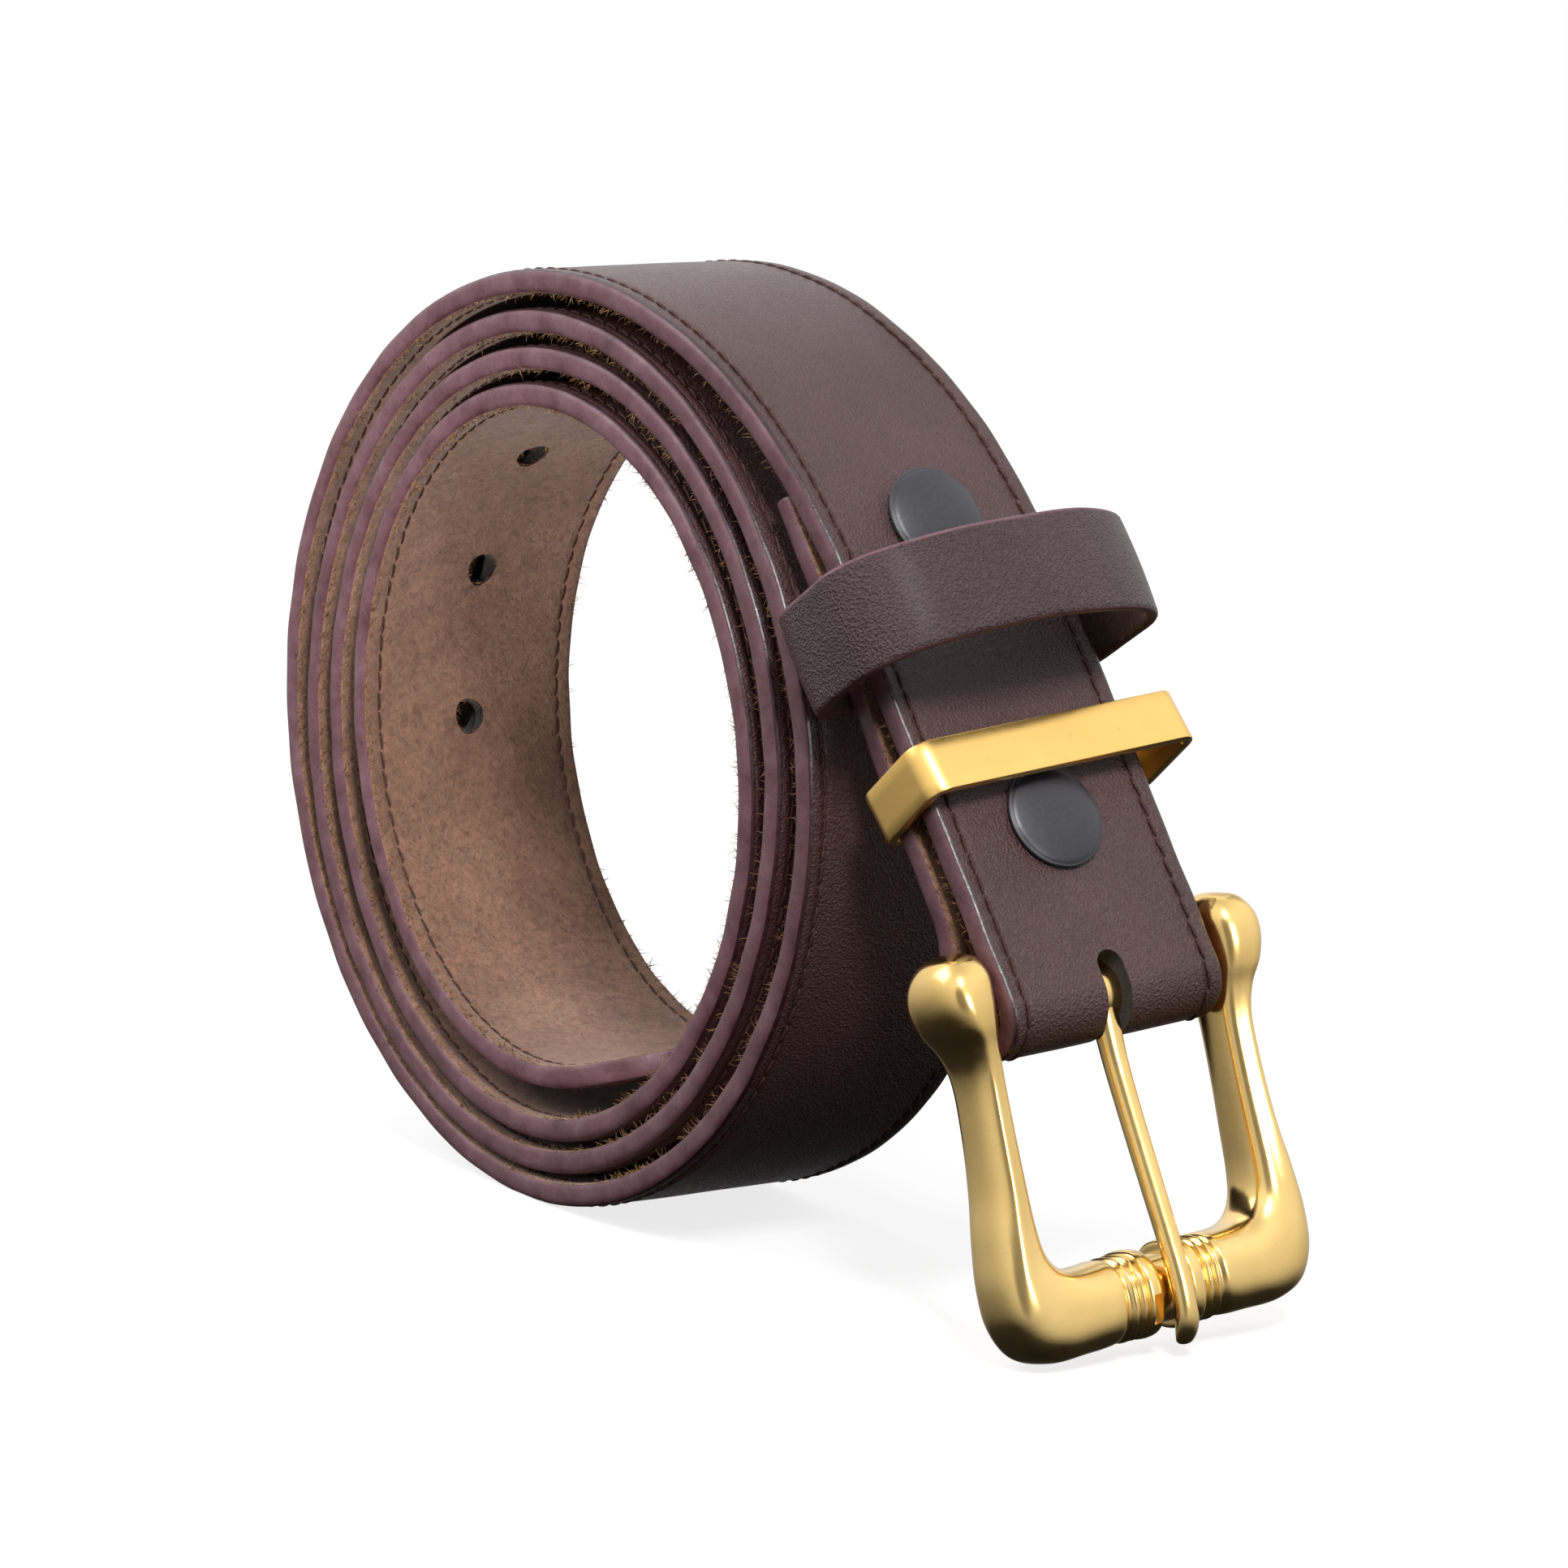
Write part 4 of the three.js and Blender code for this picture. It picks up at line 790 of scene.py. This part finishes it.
al = math.atan(LP["tilt"])
tu = math.radians(LP["turn"])
w2 = wT * math.cos(tu) - dT * math.sin(tu)
n2 = nT * math.cos(al) + dT * math.sin(al)
n2 = unit(n2 - w2 * (n2 @ w2))
s2 = np.cross(w2, n2)
c0 = P(LP["s0"] + LP["width"] / 2 + LP["tilt"] * mid, LP["w0"], mid)
wl, bv, tl = LP["width"] / 2, 0.28, LP["t"]
lprof = [(0, -wl + bv), (0, -wl / 2), (0, 0), (0, wl / 2), (0, wl - bv), (bv * 0.3, wl - bv * 0.3), (bv, wl), (tl - bv, wl), (tl - bv * 0.3, wl - bv * 0.3), (tl, wl - bv), (tl, 0), (tl, -wl + bv), (tl - bv * 0.3, -wl + bv * 0.3), (tl - bv, -wl), (bv, -wl), (bv * 0.3, -wl + bv * 0.3)]
outs = {o: rrect(o) for o in sorted({a for a, _ in lprof})}
rings = []
for k in range(len(outs[0])):
    rings.append([c0 + outs[a][k][0] * w2 + outs[a][k][1] * n2 + b * s2 for a, b in lprof])
loop_ = loft("metal_keeper_band", rings, [M_KGOLD], loop=True, sharp=30)
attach(loop_, "metal_keeper"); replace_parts(loop_, "metal_keeper")

# ------------------------------------------------------------------ buckle
I, L = 19.7, 41.5
# inner (u, v), outer (u, v), half depth, centre of depth, squareness of the section, ridge
rail = [
    (-I - 2.9, -9.95, -I - 3.6, -9.95, 0.5, 0.3, 2.0, 0), (-I - 2.2, -9.75, -I - 5.0, -9.7, 2.2, 0.2, 2.2, 0), (-I - 0.9, -8.9, -I - 7.0, -8.9, 4.4, 0.1, 2.5, 0), (-I, -6.6, -I - 8.6, -6.6, 6.0, 0, 2.8, 0), (-I, -3.4, -I - 9.0, -3.4, 6.6, -0.2, 2.9, 0.2),
    (-I, 0.2, -I - 8.2, 0.2, 6.2, -0.2, 2.8, 0.5), (-I, 3.4, -I - 6.6, 3.4, 5.0, 0, 2.6, 0.8), (-I, 7.0, -I - 5.6, 7.0, 4.3, 0.1, 2.6, 1), (-I, 15, -I - 5.6, 15, 4.2, 0.1, 2.6, 1),
    (-I, 23, -I - 6.2, 23.3, 4.6, 0, 2.6, 1), (-I + 0.1, 29, -I - 7.2, 30, 5.0, 0, 2.7, 0.8), (-I + 0.7, 32.3, -I - 7.8, 36.5, 5.4, 0, 2.7, 0.5), (-I + 2.2, 34.4, -I - 7.2, 42, 5.8, 0, 2.7, 0.2),
    (-I + 4.2, 35.4, -I - 4.8, 46, 6.0, 0, 2.7, 0), (-I + 6.2, L - 5.8, -I - 0.8, L + 6.1, 6.0, 0, 2.7, 0), (-11, L - 5.8, -14.6, L + 6.2, 6.0, 0, 2.6, 0), (-8.8, L - 5.8, -9.8, L + 6.0, 6.0, 0, 2.5, 0),
    (-8.25, L - 5.25, -8.45, L + 5.45, 5.45, 0, 2.4, 0), (-7.5, L - 5.95, -7.5, L + 6.15, 6.15, 0, 2.4, 0), (-6.75, L - 5.2, -6.75, L + 5.4, 5.4, 0, 2.4, 0), (-6.0, L - 5.95, -6.0, L + 6.15, 6.15, 0, 2.4, 0),
    (-5.3, L - 5.25, -5.3, L + 5.45, 5.45, 0, 2.4, 0), (-4.7, L - 6.1, -4.7, L + 6.2, 6.2, 0, 2.5, 0), (-3.0, L - 6.15, -3.0, L + 6.25, 6.25, 0, 2.5, 0), (-2.7, L - 5.9, -2.7, L + 6.0, 6.0, 0, 2.5, 0), (-2.62, L - 4.8, -2.62, L + 4.9, 4.8, 0, 2.5, 0),
]
left = catmull(rail, 6)
right = left[::-1].copy()
right[:, [0, 2]] *= -1
rr = np.vstack([left, right])
Mb = 48
a = 2 * np.pi * (np.arange(Mb) + 0.5) / Mb
rings = []
for iu, iv, ou, ov, dp, dc, pw, rg in rr:
    pe = 2 / pw
    cx = np.sign(np.cos(a)) * np.abs(np.cos(a)) ** pe
    cy = np.sign(np.sin(a)) * np.abs(np.sin(a)) ** pe
    # a soft ridge runs down the front of the arms, nearer the outer side
    ridge = rg * 0.13 * np.exp(-((cx - 0.25) / 0.28) ** 2) * np.where(cy > 0, 1, 0.4) * np.sign(cy)
    f = (cx + 1) / 2
    rings.append(B(iu + (ou - iu) * f, iv + (ov - iv) * f, dc + dp * (cy + ridge)))
bk = loft("buckle_frame_cast", rings, [M_GOLD], sharp=70)
# small pit cast in the collar beside the prong
pit = []
for h in (4.6, 8.0):
    pit.append([B(u, v, h)[()] for u, v in ((-4.5, L + 0.2), (-3.2, L + 0.2), (-3.2, L + 4.3), (-4.5, L + 4.3))])
v_, f_2 = cutter(pit)
pc = make("pit", v_, f_2, [M_GOLD])
fix_normals(pc)
mod = bk.modifiers.new("pit", "BOOLEAN")
mod.object, mod.operation, mod.solver = pc, "DIFFERENCE", "EXACT"
bpy.context.view_layer.update()
done = bpy.data.meshes.new_from_object(bk.evaluated_get(bpy.context.evaluated_depsgraph_get()))
bk.modifiers.clear(); bk.data = done
bpy.data.objects.remove(pc)
bk.data.set_sharp_from_angle(angle=math.radians(55))
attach(bk, "buckle"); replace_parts(bk, "buckle_frame")

hb = I + 3.2
bar = lathe("buckle_bar_pin", [(0, -hb), (BAR_R - 0.3, -hb), (BAR_R, -hb + 0.3), (BAR_R, hb - 0.3), (BAR_R - 0.3, hb), (0, hb)], OB, eS, mB, np.cross(eS, mB), [M_BAR], 48)
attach(bar, "buckle"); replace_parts(bar, "buckle_bar")

# ------------------------------------------------------------------ prong
pl = [(1.6, 1.9, 1.9, 2.05), (3.2, 1.85, 1.88, 2.02), (5, 1.9, 1.85, 2.0), (9, 2.1, 1.75, 1.85), (16, 3.0, 1.7, 1.75), (26, 4.6, 1.65, 1.7), (35, 6.1, 1.6, 1.65), (40, 6.8, 1.6, 1.65), (44, 7.0, 1.55, 1.7), (46.2, 6.7, 1.5, 1.75), (47.6, 6.1, 1.35, 1.7), (48.6, 5.5, 1.0, 1.5), (49.0, 5.2, 0.75, 1.3), (49.1, 5.1, 0.4, 0.9)]
pl = catmull(pl, 6)
tv = unit(np.gradient(pl[:, :2], axis=0))
a = 2 * np.pi * (np.arange(28) + 0.5) / 28
rp = [B(rw * np.cos(a), v - th * np.sin(a) * r, h + tvv * np.sin(a) * r) for (v, h, r, rw), (tvv, th) in zip(pl, tv)]
shank = loft("prong_shank", rp, [M_GOLD], sharp=50)
RO, RIn, WD = 4.3, BAR_R + 0.35, 4.2
bw = WD / 2
cr = 0.55
ringp = [(RIn, -bw + 0.3), (RIn + 0.3, -bw), (RO - cr, -bw), (RO - 0.16, -bw + 0.16), (RO, -bw + cr), (RO, bw - cr), (RO - 0.16, bw - 0.16), (RO - cr, bw), (RIn + 0.3, bw), (RIn, bw - 0.3)]
ring = lathe("prong_eye", ringp, OB, eS, mB, np.cross(eS, mB), [M_GOLD], 64, closed=True, sharp=40)
mod = shank.modifiers.new("join", "BOOLEAN")
mod.object, mod.operation, mod.solver = ring, "UNION", "EXACT"
bore = lathe("bore", [(0, -4), (RIn, -4), (RIn, 4), (0, 4)], OB, eS, mB, np.cross(eS, mB), [M_GOLD], 64)
mod = shank.modifiers.new("bore", "BOOLEAN")
mod.object, mod.operation, mod.solver = bore, "DIFFERENCE", "EXACT"
bpy.context.view_layer.update()
done = bpy.data.meshes.new_from_object(shank.evaluated_get(bpy.context.evaluated_depsgraph_get()))
shank.modifiers.clear(); shank.data = done
bpy.data.objects.remove(ring); bpy.data.objects.remove(bore)
shank.data.set_sharp_from_angle(angle=math.radians(45))
shank.name = "prong_pin"
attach(shank, "prong"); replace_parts(shank, "prong")

# ------------------------------------------------------------------ floor, light, camera
fm = Mat("floor_paper", roughness=0.8, Specular_IOR_Level=0.1)
fm.color(fm.ramp(fm.noise(3, 2), [(0.4, (0.30, 0.30, 0.302, 1)), (0.6, (0.31, 0.31, 0.312, 1))]))
fm.b.inputs["Emission Color"].default_value = (1, 1, 1, 1)
fm.b.inputs["Emission Strength"].default_value = 0.8
fm.m.cycles.emission_sampling = "NONE"
fme = bpy.data.meshes.new("floor")
S = 9.0
fme.from_pydata([(-S, -S, -0.0002), (S, -S, -0.0002), (S, S, -0.0002), (-S, S, -0.0002)], [], [(0, 1, 2, 3)])
fme.materials.append(fm.m)
floor = bpy.data.objects.new("floor", fme)
bpy.context.scene.collection.objects.link(floor)
floor.visible_glossy = False
floor.visible_diffuse = False

world = bpy.data.worlds.new("studio")
bpy.context.scene.world = world
world.use_nodes = True
world.cycles.sampling_method = "NONE"
wn = world.node_tree
wn.nodes.clear()
N_ = lambda k: wn.nodes.new(k)
outw, tc, sepx, mr, rampw = N_("ShaderNodeOutputWorld"), N_("ShaderNodeTexCoord"), N_("ShaderNodeSeparateXYZ"), N_("ShaderNodeMapRange"), N_("ShaderNodeValToRGB")
wn.links.new(tc.outputs["Generated"], sepx.inputs[0])
mr.inputs["From Min"].default_value = -1
wn.links.new(sepx.outputs["Z"], mr.inputs["Value"])
wn.links.new(mr.outputs["Result"], rampw.inputs["Fac"])
def fill(ramp_node, stops):
    el = ramp_node.color_ramp.elements
    while len(el) < len(stops):
        el.new(0.5)
    for k, (pos, v) in enumerate(stops):
        el[k].position = pos
        el[k].color = (v, v, v * 1.01, 1)


rampg = N_("ShaderNodeValToRGB")
wn.links.new(mr.outputs["Result"], rampg.inputs["Fac"])
fill(rampw, [(0.0, 0.0), (0.48, 0.01), (0.54, 0.14), (0.64, 0.60), (0.78, 0.84), (1.0, 0.8)])
fill(rampg, [(0.0, 0.01), (0.22, 0.02), (0.32, 0.20), (0.42, 0.46), (0.55, 0.68), (0.75, 0.94), (0.87, 1.0), (1.0, 0.7)])
bgl, bgg, bgc, lp = N_("ShaderNodeBackground"), N_("ShaderNodeBackground"), N_("ShaderNodeBackground"), N_("ShaderNodeLightPath")
mg, mx = N_("ShaderNodeMixShader"), N_("ShaderNodeMixShader")
def toward(direction, lo, hi, value):
    """1 away from a direction of the room, value close to it."""
    d, m_ = N_("ShaderNodeVectorMath"), N_("ShaderNodeMapRange")
    d.operation = "DOT_PRODUCT"
    d.inputs[1].default_value = Vector(direction).normalized()
    wn.links.new(tc.outputs["Generated"], d.inputs[0])
    m_.interpolation_type = "SMOOTHSTEP"
    m_.inputs["From Min"].default_value, m_.inputs["From Max"].default_value = lo, hi
    m_.inputs["To Min"].default_value, m_.inputs["To Max"].default_value = 1.0, value
    wn.links.new(d.outputs["Value"], m_.inputs["Value"])
    return m_.outputs["Result"]


def times(color, fac):
    s_n = N_("ShaderNodeVectorMath")
    s_n.operation = "SCALE"
    wn.links.new(color, s_n.inputs[0])
    wn.links.new(fac, s_n.inputs["Scale"])
    return s_n.outputs["Vector"]


# the dark side of the studio: behind the tripod, and to the right of the set
soft = times(rampw.outputs["Color"], toward((0.98, 0.10, -0.15), 0.05, 0.78, 0.03))
gloss = times(rampg.outputs["Color"], toward((0.80, -0.57, 0.19), 0.89, 0.985, 0.30))
gloss = times(gloss, toward((-0.48, 0.58, 0.67), 0.86, 0.99, 0.45))
wn.links.new(soft, bgl.inputs["Color"])
bgl.inputs["Strength"].default_value = 0.85
wn.links.new(gloss, bgg.inputs["Color"])
bgg.inputs["Strength"].default_value = 1.28
bgc.inputs["Color"].default_value = (0.98, 0.98, 0.985, 1)
wn.links.new(lp.outputs["Is Glossy Ray"], mg.inputs["Fac"])
wn.links.new(bgl.outputs["Background"], mg.inputs[1])
wn.links.new(bgg.outputs["Background"], mg.inputs[2])
wn.links.new(lp.outputs["Is Camera Ray"], mx.inputs["Fac"])
wn.links.new(mg.outputs["Shader"], mx.inputs[1])
wn.links.new(bgc.outputs["Background"], mx.inputs[2])
wn.links.new(mx.outputs["Shader"], outw.inputs["Surface"])

TARGET = Vector((0.02, 0.0, 0.07))


def softbox(name, direction, dist, sx, sy, watts, tint=(1, 1, 1)):
    d = Vector(direction).normalized()
    li = bpy.data.lights.new(name, "AREA")
    li.shape, li.size, li.size_y, li.energy, li.color = "RECTANGLE", sx, sy, watts, tint
    o = bpy.data.objects.new(name, li)
    o.location = TARGET + d * dist
    o.rotation_euler = (-d).to_track_quat("-Z", "Y").to_euler()
    bpy.context.scene.collection.objects.link(o)
    o.visible_camera = False
    return o


softbox("key_box", (0.66, -0.27, 0.70), 1.1, 0.18, 0.22, 7.8)
front = softbox("front_box", (0.97, -0.02, 0.22), 1.3, 0.40, 0.32, 3.2)
front.visible_diffuse = False
softbox("top_box", (-0.45, 0.30, 0.80), 1.3, 0.9, 0.9, 1.2)
softbox("left_box", (-0.40, -0.66, 0.66), 0.56, 0.36, 0.30, 1.05)
# a narrow light from low in front, through the open middle of the coil and onto its inner wall
aim = on_strap(hole_u[1] + 14.0, 4.0, -T)
snoot = bpy.data.lights.new("inner_spot", "SPOT")
snoot.energy, snoot.spot_size, snoot.spot_blend, snoot.shadow_soft_size = 60.0, math.radians(7.5), 1.0, 0.06
spot = bpy.data.objects.new("inner_spot", snoot)
bpy.context.scene.collection.objects.link(spot)
sd = Vector((0.45, -0.82, -0.36)).normalized()
spot.location = Vector([float(c) / 1000 for c in aim]) + sd * 0.9
spot.rotation_euler = sd.to_track_quat("Z", "Y").to_euler()
spot.visible_glossy = False
floor.visible_shadow = False

cam = bpy.data.cameras.new("camera")
co = bpy.data.objects.new("camera", cam)
bpy.context.scene.collection.objects.link(co)
right_, up_ = Vector((0.577204, 0.815750, 0.037253)), Vector((-0.173652, 0.078040, 0.981710))
bk_ = right_.cross(up_)
mtx = Matrix((right_, up_, bk_)).transposed().to_4x4()
mtx.translation = Vector((827.463, -568.357, 252.140)) / 1000
co.matrix_world = mtx
cam.sensor_fit = "HORIZONTAL"
cam.sensor_width = 36.0
cam.lens = 8481.60 / 1932 * 36.0
cam.clip_start, cam.clip_end = 0.01, 50
bpy.context.scene.camera = co
bpy.context.scene.view_settings.view_transform = "Standard"
